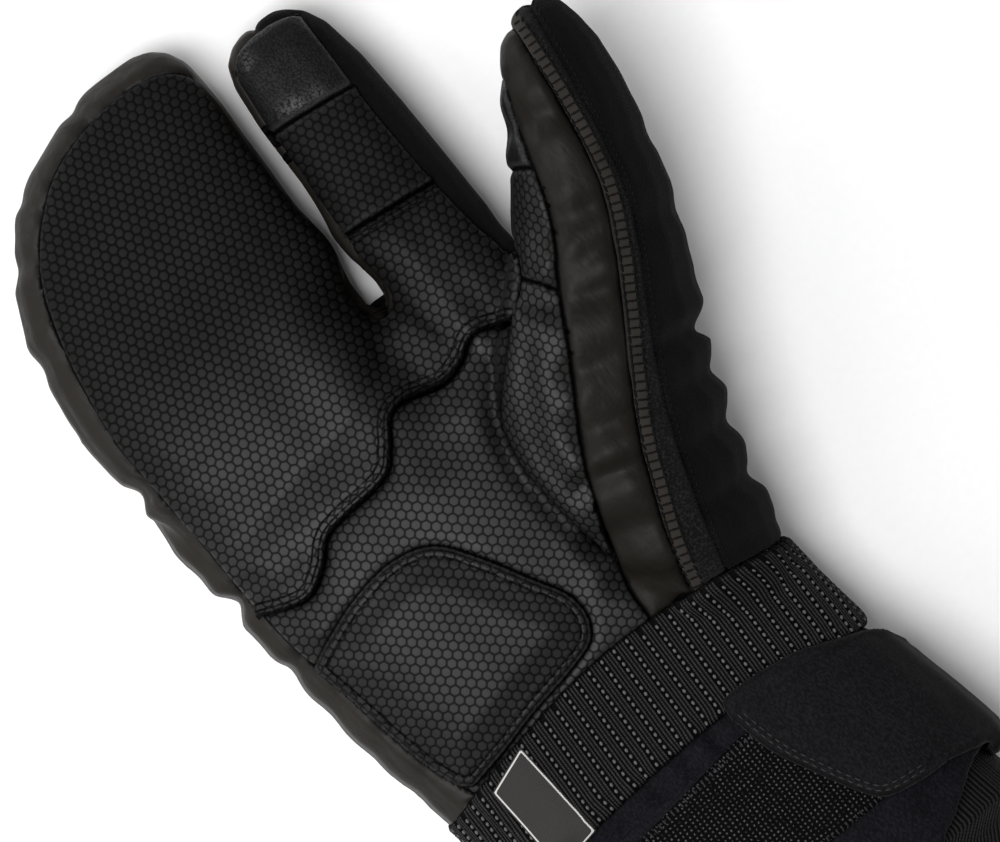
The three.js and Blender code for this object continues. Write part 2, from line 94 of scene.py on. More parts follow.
# %% The pattern's lines
LINES = {
    "heel": [(-44, -4), (-50, 12), (-55, 35), (-58.5, 50), (-60.6, 64.5)],
    "mitt": [(-60.6, 64.5), (-61.6, 80), (-63, 100), (-64.2, 120), (-62.5, 138), (-59.5, 153),
             (-54.5, 166.5), (-46, 177.5), (-35, 186), (-21, 190.6), (-8, 191.6), (1, 189.8),
             (6.5, 185), (8.6, 177), (10.2, 175)],
    "crotch": [(10.2, 175), (10.2, 150), (10.2, 109), (13.4, 109)],
    "index_left": [(13.4, 109), (13.4, 130), (13.4, 160.4), (13.4, 186)],
    "wavy": [(-60.6, 64.5), (-48, 61), (-40, 65), (-33, 71), (-15, 73.5), (-9, 78.5), (-4, 85.2),
             (2, 86.2), (11, 84), (18, 85.5), (25, 89.3), (34.5, 86)],
    "thumb_crease": [(34.5, 86), (26, 77.5), (18, 68), (15.2, 57), (15.6, 47), (17.4, 34), (19.4, 22)],
    "thumb_top": [(34.5, 86), (42, 93)],
    "index_right": [(38.3, 192), (38.6, 172), (38.8, 150), (40.3, 126.2), (41.8, 113), (44.8, 98)],
    "strip_left": [(18, 5.6), (18.2, 14), (19.4, 22), (23.8, 38), (30, 52), (40, 70), (47.6, 84.8),
                   (53, 93.6), (57, 102), (60.3, 112.8), (64, 125), (69, 137), (74, 150)],
    "strip_right": [(30, 5.2), (32.5, 17), (38, 33), (43, 45.5), (50, 58), (60, 75), (66, 86),
                    (71.5, 99), (74, 112), (75.6, 126), (77.2, 150)],
    "wipe_right": [(40.5, 4.4), (44, 20), (49, 37), (55, 52), (63, 68), (70, 81), (75, 92),
                   (78.5, 106), (80.8, 121), (84.5, 150)],
    "band_top": [(-80, -16), (-44, -4), (-28, 0.4), (-8, 4.4), (8, 5.8), (18, 5.6), (30, 5.2),
                 (40.5, 4.4), (56, 1.2), (80, -4.0)],
    "band_bottom": [(-80, -30), (-38, -28.5), (-24, -27), (-8, -25), (10, -23.6), (28, -23.4),
                    (46, -25.6), (62, -29), (85, -34)],
    "hem": [(-90, -81), (-50, -81), (34, -81), (46, -79), (56, -73.5), (65, -69.5), (90, -67)],
    "pad_edge": [(-57.6, 45.6), (-48, 50.4), (-38, 54), (-26, 55.9), (-15, 53.2), (-7.5, 44.5), (0, 32),
                 (5, 23.5), (5.8, 16.5), (2.5, 10.6), (-6, 7.6), (-18, 5), (-30, 1.6), (-42.6, -1.6)],
    "index_double": [(13.4, 128.6), (40.3, 126.2)],
    "index_tip": [(13.4, 160.4), (38.75, 157.8)],
    "thumb_low": [(42, 93), (47.6, 84.8)],
    "thumb_high": [(48.6, 122.5), (60.3, 112.8)],
}
SEAMS = {name: smooth_line(points) for name, points in LINES.items()}
print(len(SEAMS), "pattern lines,", round(sum(map(len, SEAMS.values()))), "mm in all")


# %% Distances and insides on the pattern
TINY = 1e-9


def feet_on(points, line):
    """For each pattern point, its nearest point on every stretch of a line, and how far along that is."""
    p, a, b = points[:, None, :2], line[None, :-1], line[None, 1:]
    along = np.clip(((p - a) * (b - a)).sum(2) / np.maximum(((b - a) ** 2).sum(2), TINY), 0, 1)
    return a + along[..., None] * (b - a), along


def distance_to(points, line):
    """How far each pattern point is from a line, in millimetres."""
    feet, _ = feet_on(points, line)
    return np.sqrt(((feet - points[:, None, :2]) ** 2).sum(2)).min(1)


def closed(outline):
    """An outline that ends where it starts."""
    return np.vstack((outline, outline[:1]))


def inside(points, outline):
    """Which pattern points lie within a closed outline, by counting crossings."""
    x, y = points[:, None, 0], points[:, None, 1]
    a, b = outline[None], np.roll(outline, -1, axis=0)[None]
    crosses = (a[..., 1] > y) != (b[..., 1] > y)
    slope = (b[..., 0] - a[..., 0]) / np.where(b[..., 1] == a[..., 1], TINY, b[..., 1] - a[..., 1])
    return (crosses & (x < a[..., 0] + slope * (y - a[..., 1]))).sum(1) % 2 == 1


def bump_shape(distance, width):
    """A soft bell: 1 at no distance, fading over the width."""
    return np.exp(-(distance / width) ** 2)


def ease(t):
    """A smooth step from 0 to 1."""
    t = np.clip(t, 0, 1)
    return t * t * (3 - 2 * t)


# %% [markdown]
# ## One skin over all the body panels
# The CAD panels are walls with narrow gaps for the seams, in flat facets. A Subdivision Surface modifier
# would round each panel on its own and open the gaps. Instead the panels are copied into one mesh, swelled
# until the gaps close, and remeshed on a fine voxel grid. A plug in the cuff's mouth keeps the hollow inside
# apart, so that it can be dropped. What is left is smoothed with a shrinking and a growing step in turn
# (Taubin smoothing), which takes the facets away without making the fingers thinner.

# %% Join, swell and remesh the CAD panels
BODY_NODES = ("upper_palm", "lower_palm", "index_palm", "index_tip_pad", "thumb_gusset", "thumb_mid_palm",
              "thumb_tip_pad", "thumb_side_strip", "thumb_wipe", "thumb_back", "outer_side_wall",
              "index_side_wall", "hand_back", "wrist_band", "cuff")
SWELL = 0.62 * MM
SWELLED = 0.48 * MM
SLIT_SWELL = 0.12 * MM
# the slit between the mitt and the index finger, and how far each side moves, in pattern millimetres
SLIT_X, SLIT_FOOT, SLIT_TOP = 10.2, 107, 34
SLIT_SIDES, SLIT_ENDS = (8, 14), (110, 190)
MITT_ASIDE, INDEX_ASIDE = 0.8, 0.6
MITT_FROM, MITT_REACH = 2, 7
INDEX_FROM, INDEX_REACH = 21, 9
FOOT_REACH = 4
VOXEL = 0.95 * MM
SAME_POINT = 0.01 * MM
MOUTH_PLUG_END = -113 * MM


def new_object(name, bm=None):
    """An object with its mesh, from a bmesh that is then freed."""
    mesh = bpy.data.meshes.new(name)
    if bm is not None:
        bm.to_mesh(mesh)
        bm.free()
    made = bpy.data.objects.new(name, mesh)
    bpy.context.scene.collection.objects.link(made)
    return made


def applied(piece):
    """The piece, with its modifiers worked into its mesh."""
    mesh = bpy.data.meshes.new_from_object(piece.evaluated_get(bpy.context.evaluated_depsgraph_get()))
    piece.modifiers.clear()
    piece.data = mesh
    return piece


def beside_slit(x, y):
    """How far a point moves aside, so that the slit between the mitt and the index finger stays open."""
    share = float(ease((y - SLIT_FOOT) / FOOT_REACH))
    if x < SLIT_X:
        return -MITT_ASIDE * share * float(ease((x - MITT_FROM) / MITT_REACH))
    return INDEX_ASIDE * share * float(ease((INDEX_FROM - x) / INDEX_REACH))


bm = bmesh.new()
for name in BODY_NODES:
    bm.from_mesh(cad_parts[name].data)
bmesh.ops.remove_doubles(bm, verts=bm.verts, dist=SAME_POINT)
bm.normal_update()
for vert in bm.verts:
    x, y, z = on_pattern([vert.co])[0]
    in_slit = SLIT_SIDES[0] < x < SLIT_SIDES[1] and SLIT_ENDS[0] < y < SLIT_ENDS[1] and z < SLIT_TOP
    vert.co += vert.normal * (SLIT_SWELL if in_slit else SWELL)
    vert.co.x += beside_slit(x, y) * MM
cuff_copy = bmesh.new()
cuff_copy.from_mesh(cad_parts["cuff"].data)
plug = [bm.verts.new(v.co) for v in cuff_copy.verts if v.co.y < MOUTH_PLUG_END]
cuff_copy.free()
bmesh.ops.convex_hull(bm, input=plug)
skin = new_object("skin", bm)
remesh = skin.modifiers.new("voxels", "REMESH")
remesh.mode = "VOXEL"
remesh.voxel_size = VOXEL
applied(skin)
print("remeshed skin:", len(skin.data.polygons), "faces")


# %% Keep the outer surface and smooth it
SIDEWAYS = [Vector(way) for way in ((0, 0, 0), (1, 0, 0), (-1, 0, 0), (0, 1, 0), (0, -1, 0),
                                    (0, 0, 1), (0, 0, -1))]
SKIN_ROUNDS, NORMAL_ROUNDS = 22, 3


def tree_of(mesh):
    """A search tree over a mesh's faces."""
    return BVHTree.FromPolygons([v.co for v in mesh.vertices], [p.vertices for p in mesh.polygons])


def sees_out(tree, face):
    """Whether a face looks out of the glove in at least one direction."""
    start = face.calc_center_median() + face.normal * MM / 2
    return any(tree.ray_cast(start, face.normal + side)[0] is None for side in SIDEWAYS)


def largest_island(bm):
    """Deletes all but the longest island of faces."""
    seen, best, best_length = set(), set(), 0
    for start in bm.verts:
        if start in seen:
            continue
        island, todo = [], [start]
        seen.add(start)
        while todo:
            vert = todo.pop()
            island.append(vert)
            for edge in vert.link_edges:
                other = edge.other_vert(vert)
                if other not in seen:
                    seen.add(other)
                    todo.append(other)
        ys = [v.co.y for v in island]
        if max(ys) - min(ys) > best_length:
            best, best_length = set(island), max(ys) - min(ys)
    bmesh.ops.delete(bm, geom=[v for v in bm.verts if v not in best], context="VERTS")


def taubin(points, edges, rounds, shrink=0.6, grow=-0.62):
    """Smooths points that edges join, without making thin parts thinner."""
    count = np.maximum(np.bincount(edges.ravel(), minlength=len(points)), 1)[:, None]
    for amount in [shrink, grow] * rounds:
        total = np.empty_like(points)
        for axis in range(3):
            total[:, axis] = (np.bincount(edges[:, 0], points[edges[:, 1], axis], len(points))
                              + np.bincount(edges[:, 1], points[edges[:, 0], axis], len(points)))
        points = points + amount * (total / count - points)
    return points


def points_of(mesh, layer="vertices", key="co"):
    """The mesh's points, or another triple of each, as an array."""
    out = np.empty(len(mesh.vertices) * 3)
    getattr(mesh, layer).foreach_get(key, out)
    return out.reshape(-1, 3)


def normals_of(mesh):
    """The normals at the mesh's points."""
    return points_of(mesh, "vertex_normals", "vector")


def set_points(mesh, points):
    """Moves the mesh's points, none of them below the ground."""
    points[:, 2] = np.maximum(points[:, 2], 0)
    mesh.vertices.foreach_set("co", points.ravel())
    mesh.update()


def keep_above_ground(mesh):
    """Lifts the points that are below the ground up to it."""
    set_points(mesh, points_of(mesh))


raw_tree = tree_of(skin.data)
bm = bmesh.new()
bm.from_mesh(skin.data)
bm.normal_update()
bmesh.ops.delete(bm, geom=[f for f in bm.faces if not sees_out(raw_tree, f)], context="FACES")
largest_island(bm)
bmesh.ops.holes_fill(bm, edges=[e for e in bm.edges if e.is_boundary], sides=0)
bm.to_mesh(skin.data)
bm.free()
skin_edges = np.empty(len(skin.data.edges) * 2, int)
skin.data.edges.foreach_get("vertices", skin_edges)
skin_edges = skin_edges.reshape(-1, 2)
set_points(skin.data, taubin(points_of(skin.data), skin_edges, SKIN_ROUNDS))
set_points(skin.data, points_of(skin.data) - normals_of(skin.data) * SWELLED)
skin_height = round(points_of(skin.data)[:, 2].max() / MM)
print("outer skin:", len(skin.data.polygons), "faces,", skin_height, "mm high")

# %% [markdown]
# ## Creases and dents
# Soft cloth between seams dents where the fingers bend and where an edge is gathered. A cloth simulation
# could find such folds, but not the ones of this very glove, so each is a line on the pattern with a depth
# and a width. The skin's points sink along their normals near it, and rise a little on either side.

# %% Dent the skin
CREASES = [
    # x1, y1, x2, y2, depth mm, width mm
    (6, 116, 8, 92, 3.4, 8.0), (8, 92, 2, 78, 1.6, 9.0), (12, 112, 30, 96, 0.8, 6.0),
    (-64, 112, -73, 107, 0.5, 3.6), (-62, 84, -71, 80, 0.4, 3.4), (-60, 72, -70, 70, 0.6, 3.6),
    (-57, 50, -67, 47, 0.6, 3.6), (-54, 36, -65, 33, 0.4, 3.2), (-51, 22, -63, 18, 0.5, 3.0),
    (-47, 8, -60, 3, 0.4, 3.0), (-64, 130, -73, 128, 0.3, 3.0), (-62, 145, -71, 147, 0.4, 3.0),
    (-44, 180, -49, 186, 0.5, 2.6), (-22, 191, -24, 197, 0.6, 2.4),
    (17, 18, 32, 9, 1.0, 3.0), (24, 43, 44, 38, 1.1, 2.6), (31, 53, 50, 49, 1.3, 3.4),
    (44, 83, 62, 76, 1.6, 3.8), (53, 99, 71, 95, 1.2, 3.6), (62, 124, 76, 119, 1.5, 3.8),
    (19, 30, 38, 24, 0.9, 3.4), (38, 66, 56, 62, 1.0, 3.4),
    (56, 60, 70, 58, 0.6, 2.6), (52, 47, 68, 46, 0.6, 2.4), (49, 34, 65, 34, 0.6, 2.4),
    (45, 20, 60, 19, 0.7, 2.4), (44, 8, 58, 6, 0.5, 2.2), (58, 70, 76, 68, 0.4, 2.6),
    (66, 84, 84, 84, 0.8, 3.0), (76, 104, 90, 103, 0.5, 3.0),
    (16, 127, 38, 125.5, 0.7, 2.4), (14, 112, 44, 108, 0.5, 4.0),
    (-30, -31, -30, -27, 0.8, 2.6), (-18, -31, -17, -26, 0.7, 2.4), (-6, -29, -6, -25, 0.8, 2.4),
    (4, -29, 5, -25, 0.7, 2.2), (13, -28, 13, -24, 0.8, 2.2),
    (46, -70, 60, -60, 0.8, 4.0), (-45, -45, -58, -55, 0.9, 5.0), (-50, -68, -60, -62, 0.8, 4.0),
]
BEAD_SHARE, BEAD_PLACE = 0.35, 1.9
CREASE_REACH = 4
FACING_FROM, FACING_REACH = -0.35, 0.5


def dent(points, normal, creases):
    """Sinks points along each crease, and raises a soft bead on either side of it."""
    flat = on_pattern(points)
    facing = ease((normal[:, 2] - FACING_FROM) / FACING_REACH)
    depth = np.zeros(len(points))
    for x1, y1, x2, y2, deep, wide in creases:
        near = (np.abs(flat[:, 0] - (x1 + x2) / 2) < abs(x1 - x2) / 2 + CREASE_REACH * wide)
        near &= (np.abs(flat[:, 1] - (y1 + y2) / 2) < abs(y1 - y2) / 2 + CREASE_REACH * wide)
        gap = distance_to(flat[near], np.array(((x1, y1), (x2, y2)), float))
        bead = BEAD_SHARE * bump_shape(gap - BEAD_PLACE * wide, wide)
        depth[near] += deep * (bump_shape(gap, wide) - bead)
    return points - normal * (depth * facing * MM)[:, None]


set_points(skin.data, dent(points_of(skin.data), normals_of(skin.data), CREASES))
skin_tree = tree_of(skin.data)
print(len(CREASES), "creases and dents")

# %% [markdown]
# ## Cutting the skin into panels
# Each face goes to the CAD panel that is nearest to it, which leaves a stepped edge as wide as a face. A
# maker cuts along the pattern line. A Boolean with a prism for each panel would cut there too, but it takes
# minutes on this many faces. Instead the points on a stepped edge slide along the surface onto the nearest
# pattern line, so that both neighbours still share them.

# %% Give each face to its nearest CAD panel
BACK_SEAM_HEIGHT, PALM_SEAM_HEIGHT = 7.0, 22.0
THUMB_FOOT, THUMB_SLOPE = 12.0, 0.16
# past this pattern y, faces that are this far from every panel close the cuff's mouth and go
CUFF_END_FROM, MOUTH_GAP = -64, 1.6 * MM
panel_points, panel_faces, panel_names = [], [], []
for name in BODY_NODES:
    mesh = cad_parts[name].data
    start = len(panel_points)
    panel_points.extend(v.co.copy() for v in mesh.vertices)
    panel_faces.extend(tuple(i + start for i in p.vertices) for p in mesh.polygons)
    panel_names.extend([BODY_NODES.index(name)] * len(mesh.polygons))
panel_tree = BVHTree.FromPolygons(panel_points, panel_faces)
hem_line = SEAMS["hem"]
bm = bmesh.new()
bm.from_mesh(skin.data)
outward = bm.verts.layers.float_vector.new("outward")
for vert, way in zip(bm.verts, taubin(normals_of(skin.data), skin_edges, NORMAL_ROUNDS, 0.5, 0.5)):
    vert[outward] = Vector(way).normalized()
mouth = []
for face in bm.faces:
    centre = face.calc_center_median()
    _, _, nearest, distance = panel_tree.find_nearest(centre)
    face.material_index = panel_names[nearest]
    face.smooth = True
    if centre.y < (CUFF_END_FROM + PATTERN_ORIGIN[1]) * MM:
        x, y = on_pattern([centre])[0][:2]
        if distance > MOUTH_GAP or y < np.interp(x, hem_line[:, 0], hem_line[:, 1]):
            mouth.append(face)
bmesh.ops.delete(bm, geom=mouth, context="FACES")


def settle(bm):
    """Gives a face that most of its neighbours surround to their panel."""
    changes = {}
    for face in bm.faces:
        around = [f.material_index for e in face.edges for f in e.link_faces if f != face]
        for other in set(around):
            if other != face.material_index and around.count(other) >= 3:
                changes[face] = other
    for face, other in changes.items():
        face.material_index = other
    return len(changes)


print("settled", [settle(bm) for _ in range(4)], "faces")


# %% The lines where two panels meet
MEETING_LINES = [
    ("upper_palm", "outer_side_wall", "mitt"), ("lower_palm", "outer_side_wall", "heel"),
    ("upper_palm", "lower_palm", "wavy"), ("upper_palm", "index_side_wall", "index_left"),
    ("index_palm", "index_side_wall", "index_left"), ("index_tip_pad", "index_side_wall", "index_left"),
    ("upper_palm", "index_palm", "index_double"), ("index_palm", "index_tip_pad", "index_tip"),
    ("upper_palm", "hand_back", "index_right"), ("index_palm", "hand_back", "index_right"),
    ("index_tip_pad", "hand_back", "index_right"), ("upper_palm", "thumb_gusset", "thumb_top"),
    ("lower_palm", "thumb_gusset", "thumb_crease"), ("lower_palm", "thumb_side_strip", "strip_left"),
    ("thumb_gusset", "thumb_side_strip", "strip_left"), ("thumb_mid_palm", "thumb_side_strip", "strip_left"),
    ("thumb_tip_pad", "thumb_side_strip", "strip_left"), ("thumb_gusset", "thumb_mid_palm", "thumb_low"),
    ("thumb_mid_palm", "thumb_tip_pad", "thumb_high"), ("thumb_side_strip", "thumb_wipe", "strip_right"),
    ("thumb_wipe", "thumb_back", "wipe_right"), ("lower_palm", "wrist_band", "band_top"),
    ("thumb_side_strip", "wrist_band", "band_top"), ("thumb_wipe", "wrist_band", "band_top"),
    ("thumb_back", "wrist_band", "band_top"), ("outer_side_wall", "wrist_band", "band_top"),
    ("cuff", "wrist_band", "band_bottom"),
]
# how near a line or a level takes hold, in millimetres, and how far up a face or point there has to look
SIDE_REACH, SLIDE_REACH, LIFT_REACH, LEVEL_REACH = 2.2, 1.0, 1.5, 1.0
UPRIGHT_FACE, UPRIGHT_POINT = 0.25, 0.3


def nearest_feet(at, line):
    """The nearest point of a line to each pattern point, how far it is, and on which side it lies."""
    feet, along = feet_on(at, line)
    gap = np.linalg.norm(feet - at[:, None, :2], axis=2)
    rows, pick = np.arange(len(at)), gap.argmin(1)
    way, apart = np.diff(line, axis=0)[pick], at[:, :2] - feet[rows, pick]
    off_start = (pick == 0) & (along[rows, pick] == 0)
    off_end = (pick == len(line) - 2) & (along[rows, pick] == 1)
    side = np.where(off_start | off_end, 0, np.sign(way[:, 0] * apart[:, 1] - way[:, 1] * apart[:, 0]))
    return feet[rows, pick], gap.min(1), side


def seam_verts(bm):
    """The points where two or more panels meet, each with its panels."""
    groups = ((v, {BODY_NODES[f.material_index] for f in v.link_faces}) for v in bm.verts)
    return {v: names for v, names in groups if len(names) > 1}


def follow_lines(bm):
    """Gives the faces beside each line to the panel on their side of it."""
    verts = set(seam_verts(bm))
    for _ in range(3):
        faces = {f for v in verts for f in v.link_faces}
        verts = {v for f in faces for v in f.verts}
    faces = sorted((f for f in faces if f.normal.z > UPRIGHT_FACE), key=lambda f: f.index)
    at = on_pattern(np.array([f.calc_center_median()[:] for f in faces]))
    panel = np.array([f.material_index for f in faces])
    before = panel.copy()
    for one, other, line in MEETING_LINES:
        one, other = BODY_NODES.index(one), BODY_NODES.index(other)
        rows = np.flatnonzero((panel == one) | (panel == other))
        _, gap, side = nearest_feet(at[rows], SEAMS[line])
        near = (gap < SIDE_REACH) & (side != 0)
        rows, side = rows[near], side[near]
        side_of_one = np.sign((side * np.where(panel[rows] == one, 1, -1)).sum())
        panel[rows] = np.where(side == side_of_one, one, other)
    for face, index in zip(faces, panel):
        face.material_index = int(index)
    return int((before != panel).sum())


bm.normal_update()
bm.faces.index_update()
print("moved", follow_lines(bm), "faces across a line; settled", [settle(bm) for _ in range(2)])


# %% Slide the stepped edges onto the lines
def slide_to_lines(bm):
    """Moves the points between two panels along the skin, onto the line or level where they meet."""
    bm.normal_update()
    groups = seam_verts(bm)
    verts = list(groups)
    at = on_pattern(np.array([v.co[:] for v in verts]))
    upright = np.array([v.normal.z for v in verts])
    best = np.full(len(verts), SLIDE_REACH)
    goal = at.copy()
    for one, other, line in MEETING_LINES:
        meets = np.array([one in groups[v] and other in groups[v] for v in verts])
        rows = np.flatnonzero(meets & (upright > UPRIGHT_POINT))
        if not len(rows):
            continue
        feet, gap, _ = nearest_feet(at[rows], SEAMS[line])
        nearer = gap < best[rows]
        best[rows[nearer]] = gap[nearer]
        goal[rows[nearer], :2] = feet[nearer]
    free = []
    thumb_seam = THUMB_FOOT + THUMB_SLOPE * at[:, 1]
    for i, vert in enumerate(verts):
        if best[i] < SLIDE_REACH:
            start = place(goal[i, 0], goal[i, 1], at[i, 2] + LIFT_REACH)
            hit = skin_tree.ray_cast(start, Vector((0, 0, -1)), 2 * LIFT_REACH * MM)[0]
            vert.co = hit if hit is not None else vert.co
            continue
        free.append(vert)
        for level in (BACK_SEAM_HEIGHT, PALM_SEAM_HEIGHT, thumb_seam[i]):
            if abs(at[i, 2] - level) < LEVEL_REACH:
                vert.co = skin_tree.find_nearest(place(at[i, 0], at[i, 1], level))[0]
    even_out(free)
    beside = {e.other_vert(v) for v in verts for e in v.link_edges} - set(verts)
    bmesh.ops.smooth_vert(bm, verts=list(beside), factor=0.4,
                          use_axis_x=True, use_axis_y=True, use_axis_z=True)
    return len(verts), len(free)


def even_out(verts, rounds=6):
    """Evens out the seams that no line holds, along their own length."""
    ends = {}
    for vert in verts:
        seams = [e for e in vert.link_edges if len({f.material_index for f in e.link_faces}) > 1]
        if len(seams) == 2:
            ends[vert] = [e.other_vert(vert) for e in seams]
    for _ in range(rounds):
        goals = {v: v.co * 0.4 + (a.co + b.co) * 0.3 for v, (a, b) in ends.items()}
        for vert, goal in goals.items():
            vert.co = goal
    for vert in ends:
        vert.co = skin_tree.find_nearest(vert.co)[0]


print("slid", slide_to_lines(bm), "points onto the lines, and evened out;", len(bm.faces), "faces")
cut_skin = bm

# %% [markdown]
# ## Panels with turned edges
# Where two panels are sewn together their edges turn in, so each seam is a soft groove and the padding
# stands up beside it. A bevel would do this on a straight edge. Here every point sinks by its distance to the
# panel's own edge, which follows any curve, and the same distance is stored as an attribute, so that the
# cloth can get painted shade in the seam, and a painted highlight with some wear on the rolled edge. Solidify
# then gives the wall its thickness.

# %% The turned edge of one panel
EDGE_DROP, EDGE_ROLL, PUFF, PUFF_REACH = 0.85, 0.95, 0.45, 3
WALL = 2.1
NOT_NEAR = 99.0


def edge_distances(bm):
    """How far each point of the mesh is from the panel's edge, in millimetres."""
    rim = [e for e in bm.edges if e.is_boundary]
    tree = KDTree(len(rim) * 3)
    for i, e in enumerate(rim):
        a, b = e.verts[0].co, e.verts[1].co
        for j, t in enumerate((0.0, 0.33, 0.67)):
            tree.insert(a.lerp(b, t), i * 3 + j)
    tree.balance()
    return np.array([tree.find(v.co)[2] for v in bm.verts]) / MM


def store(bm, name, values):
    """Keeps one number for each point of the mesh, which a material can read."""
    layer = bm.verts.layers.float.get(name) or bm.verts.layers.float.new(name)
    for vert, value in zip(bm.verts, values):
        vert[layer] = value


def shift_along_normals(bm, heights):
    """Moves each point along its normal by its own height in millimetres."""
    bm.normal_update()
    outward = bm.verts.layers.float_vector.get("outward")
    for vert, height in zip(bm.verts, heights):
        way = vert[outward] if outward else vert.normal
        vert.co += way * (height * MM)
        vert.co.z = max(vert.co.z, 0)


def stitched_ridges(distance, rows):
    """The groove that each row of stitches pulls in, and the low ridges beside and between the rows."""
    height = np.zeros(len(distance))
    for row in rows:
        height -= 0.42 * bump_shape(distance - row, 0.45)
    height += 0.28 * bump_shape(distance - sum(rows) / len(rows), 0.6)
    return height + 0.3 * bump_shape(distance - rows[0] / 2, 0.5)


PALM_ROWS = (1.5, 3.0)
SEWN = {
    # panel: each sewn line on it, how the cloth lies there, and its rows of stitches, in mm from the line
    "upper_palm": [("wavy", "lap", PALM_ROWS), ("index_double", "rows", PALM_ROWS)],
    "lower_palm": [("wavy", "under", ()), ("thumb_crease", "valley", ()), ("pad_edge", "pressed", ())],
    "thumb_gusset": [("thumb_crease", "brow", ())],
    "index_palm": [("index_double", "rolled", ()), ("index_tip", "rolled", ())],
    "thumb_side_strip": [("strip_right", "under", ())],
    "thumb_wipe": [("strip_right", "under", ())],
}
LAP_RISE, LAP_FADE, LAP_EDGE = 0.75, 9.0, 1.6
# what the distance from a line is multiplied by for its dark shade: below 1 the shade is wider
SHADE_REACH = {"valley": 0.5, "rolled": 9}
SEWN_SHAPES = {
    # kind: (height mm, how far from the line, over what width)
    "under": (-0.35, 0, 2.0),
    "pressed": (-0.7, 0, 1.5),
    "rolled": (0.55, 0.9, 0.8),
    "valley": (-1.3, 0, 3.5),
    "brow": (1.3, 2.2, 2.4),
}


def walled(piece, thickness):
    """Gives an open sheet a wall on its inner side."""
    wall = piece.modifiers.new("wall", "SOLIDIFY")
    wall.thickness, wall.offset = thickness * MM, -1
    return applied(piece)


def relief_of(name, bm):
    """The heights that a panel's edges and sewn rows add, in millimetres."""
    edge = edge_distances(bm)
    store(bm, "from_edge", edge)
    outward = bm.verts.layers.float_vector["outward"]
    store(bm, "upright", [vert[outward].z for vert in bm.verts])
    height = PUFF * (1 - np.exp(-edge / PUFF_REACH)) - EDGE_DROP * bump_shape(edge, EDGE_ROLL)
    at = on_pattern(np.array([v.co[:] for v in bm.verts]))
    sewn = np.full(len(at), NOT_NEAR)
    for line, kind, rows in SEWN.get(name, []):
        gap = distance_to(at, SEAMS[line][::2])
        sewn = np.minimum(sewn, gap * SHADE_REACH.get(kind, 1))
        if kind == "lap":
            height += (EDGE_DROP + 0.1) * bump_shape(edge, EDGE_ROLL) * (gap < LAP_EDGE)
            height += LAP_RISE * np.exp(-gap / LAP_FADE)
        if kind in SEWN_SHAPES:
            rise, away, width = SEWN_SHAPES[kind]
            height += rise * bump_shape(gap - away, width)
        if rows:
            height += stitched_ridges(gap, rows)
    store(bm, "from_sewn_line", sewn)
    return height


PANELS = {}
for index, name in enumerate(BODY_NODES):
    if name == "wrist_band":
        continue
    panel_bm = cut_skin.copy()
    others = [f for f in panel_bm.faces if f.material_index != index]
    bmesh.ops.delete(panel_bm, geom=others, context="FACES")
    shift_along_normals(panel_bm, relief_of(name, panel_bm))
    for face in panel_bm.faces:
        face.material_index = 0
    PANELS[name] = walled(new_object(name + "_cloth", panel_bm), WALL)
    keep_above_ground(PANELS[name].data)
    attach(PANELS[name], "root")
    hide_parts(name)
print({name: len(piece.data.polygons) for name, piece in PANELS.items()})

# %% [markdown]
# ## Patches laid on the glove
# The heel pad, the fastener's loop patch and the label are cut pieces that lie on the body. Each starts as
# a flat grid. The faces outside its outline go, the rim that is left slides onto the outline, and the grid is
# dropped onto the skin. A filled outline with a Subdivision Surface modifier would make uneven faces, which
# show as soon as light grazes the cloth.

# %% A grid cut to an outline
UV_UNIT = 10
DROP_FROM, DROP_MIDDLE = 120, 30
DOWN = Vector((0, 0, -1))


def cut_grid(outline, cell):
    """A flat grid in pattern millimetres, cut to a closed outline."""
    low, high = outline.min(0) - cell, outline.max(0) + cell
    size = high - low
    across, along = (math.ceil(length / cell) for length in size)
    grid = bmesh.new()
    bmesh.ops.create_grid(grid, x_segments=across, y_segments=along, size=1)
    bmesh.ops.scale(grid, verts=grid.verts, vec=(size[0] / 2, size[1] / 2, 1))
    bmesh.ops.translate(grid, verts=grid.verts, vec=(*((low + high) / 2), 0))
    at = np.array([f.calc_center_median()[:] for f in grid.faces])
    keep = inside(at, outline)
    bmesh.ops.delete(grid, geom=[f for f, k in zip(grid.faces, keep) if not k], context="FACES")
    rim = [v for v in grid.verts if v.is_boundary]
    at = np.array([v.co[:] for v in rim])
    feet, _ = feet_on(at, closed(outline))
    pick = np.linalg.norm(feet - at[:, None, :2], axis=2).argmin(1)
    for vert, foot in zip(rim, feet[np.arange(len(at)), pick]):
        vert.co.x, vert.co.y = foot
    inner = [v for v in grid.verts if not v.is_boundary]
    bmesh.ops.smooth_vert(grid, verts=inner, factor=0.5, use_axis_x=True, use_axis_y=True)
    return grid


def unwrapped(bm, places):
    """Gives each point its place on the cloth's own UV map, and smooth faces."""
    uv = bm.loops.layers.uv.new("cloth")
    for face in bm.faces:
        face.smooth = True
        for loop in face.loops:
            loop[uv].uv = places[loop.vert]


def face_up(bm):
    """Turns a sheet over if its faces look down."""
    bm.normal_update()
    if sum(face.normal.z for face in bm.faces) < 0:
        bmesh.ops.reverse_faces(bm, faces=bm.faces)


def drop(tree, x, y):
    """The point of a surface straight below a pattern point."""
    hit = tree.ray_cast(place(x, y, DROP_FROM), DOWN)[0]
    return hit if hit is not None else tree.find_nearest(place(x, y, DROP_MIDDLE))[0]


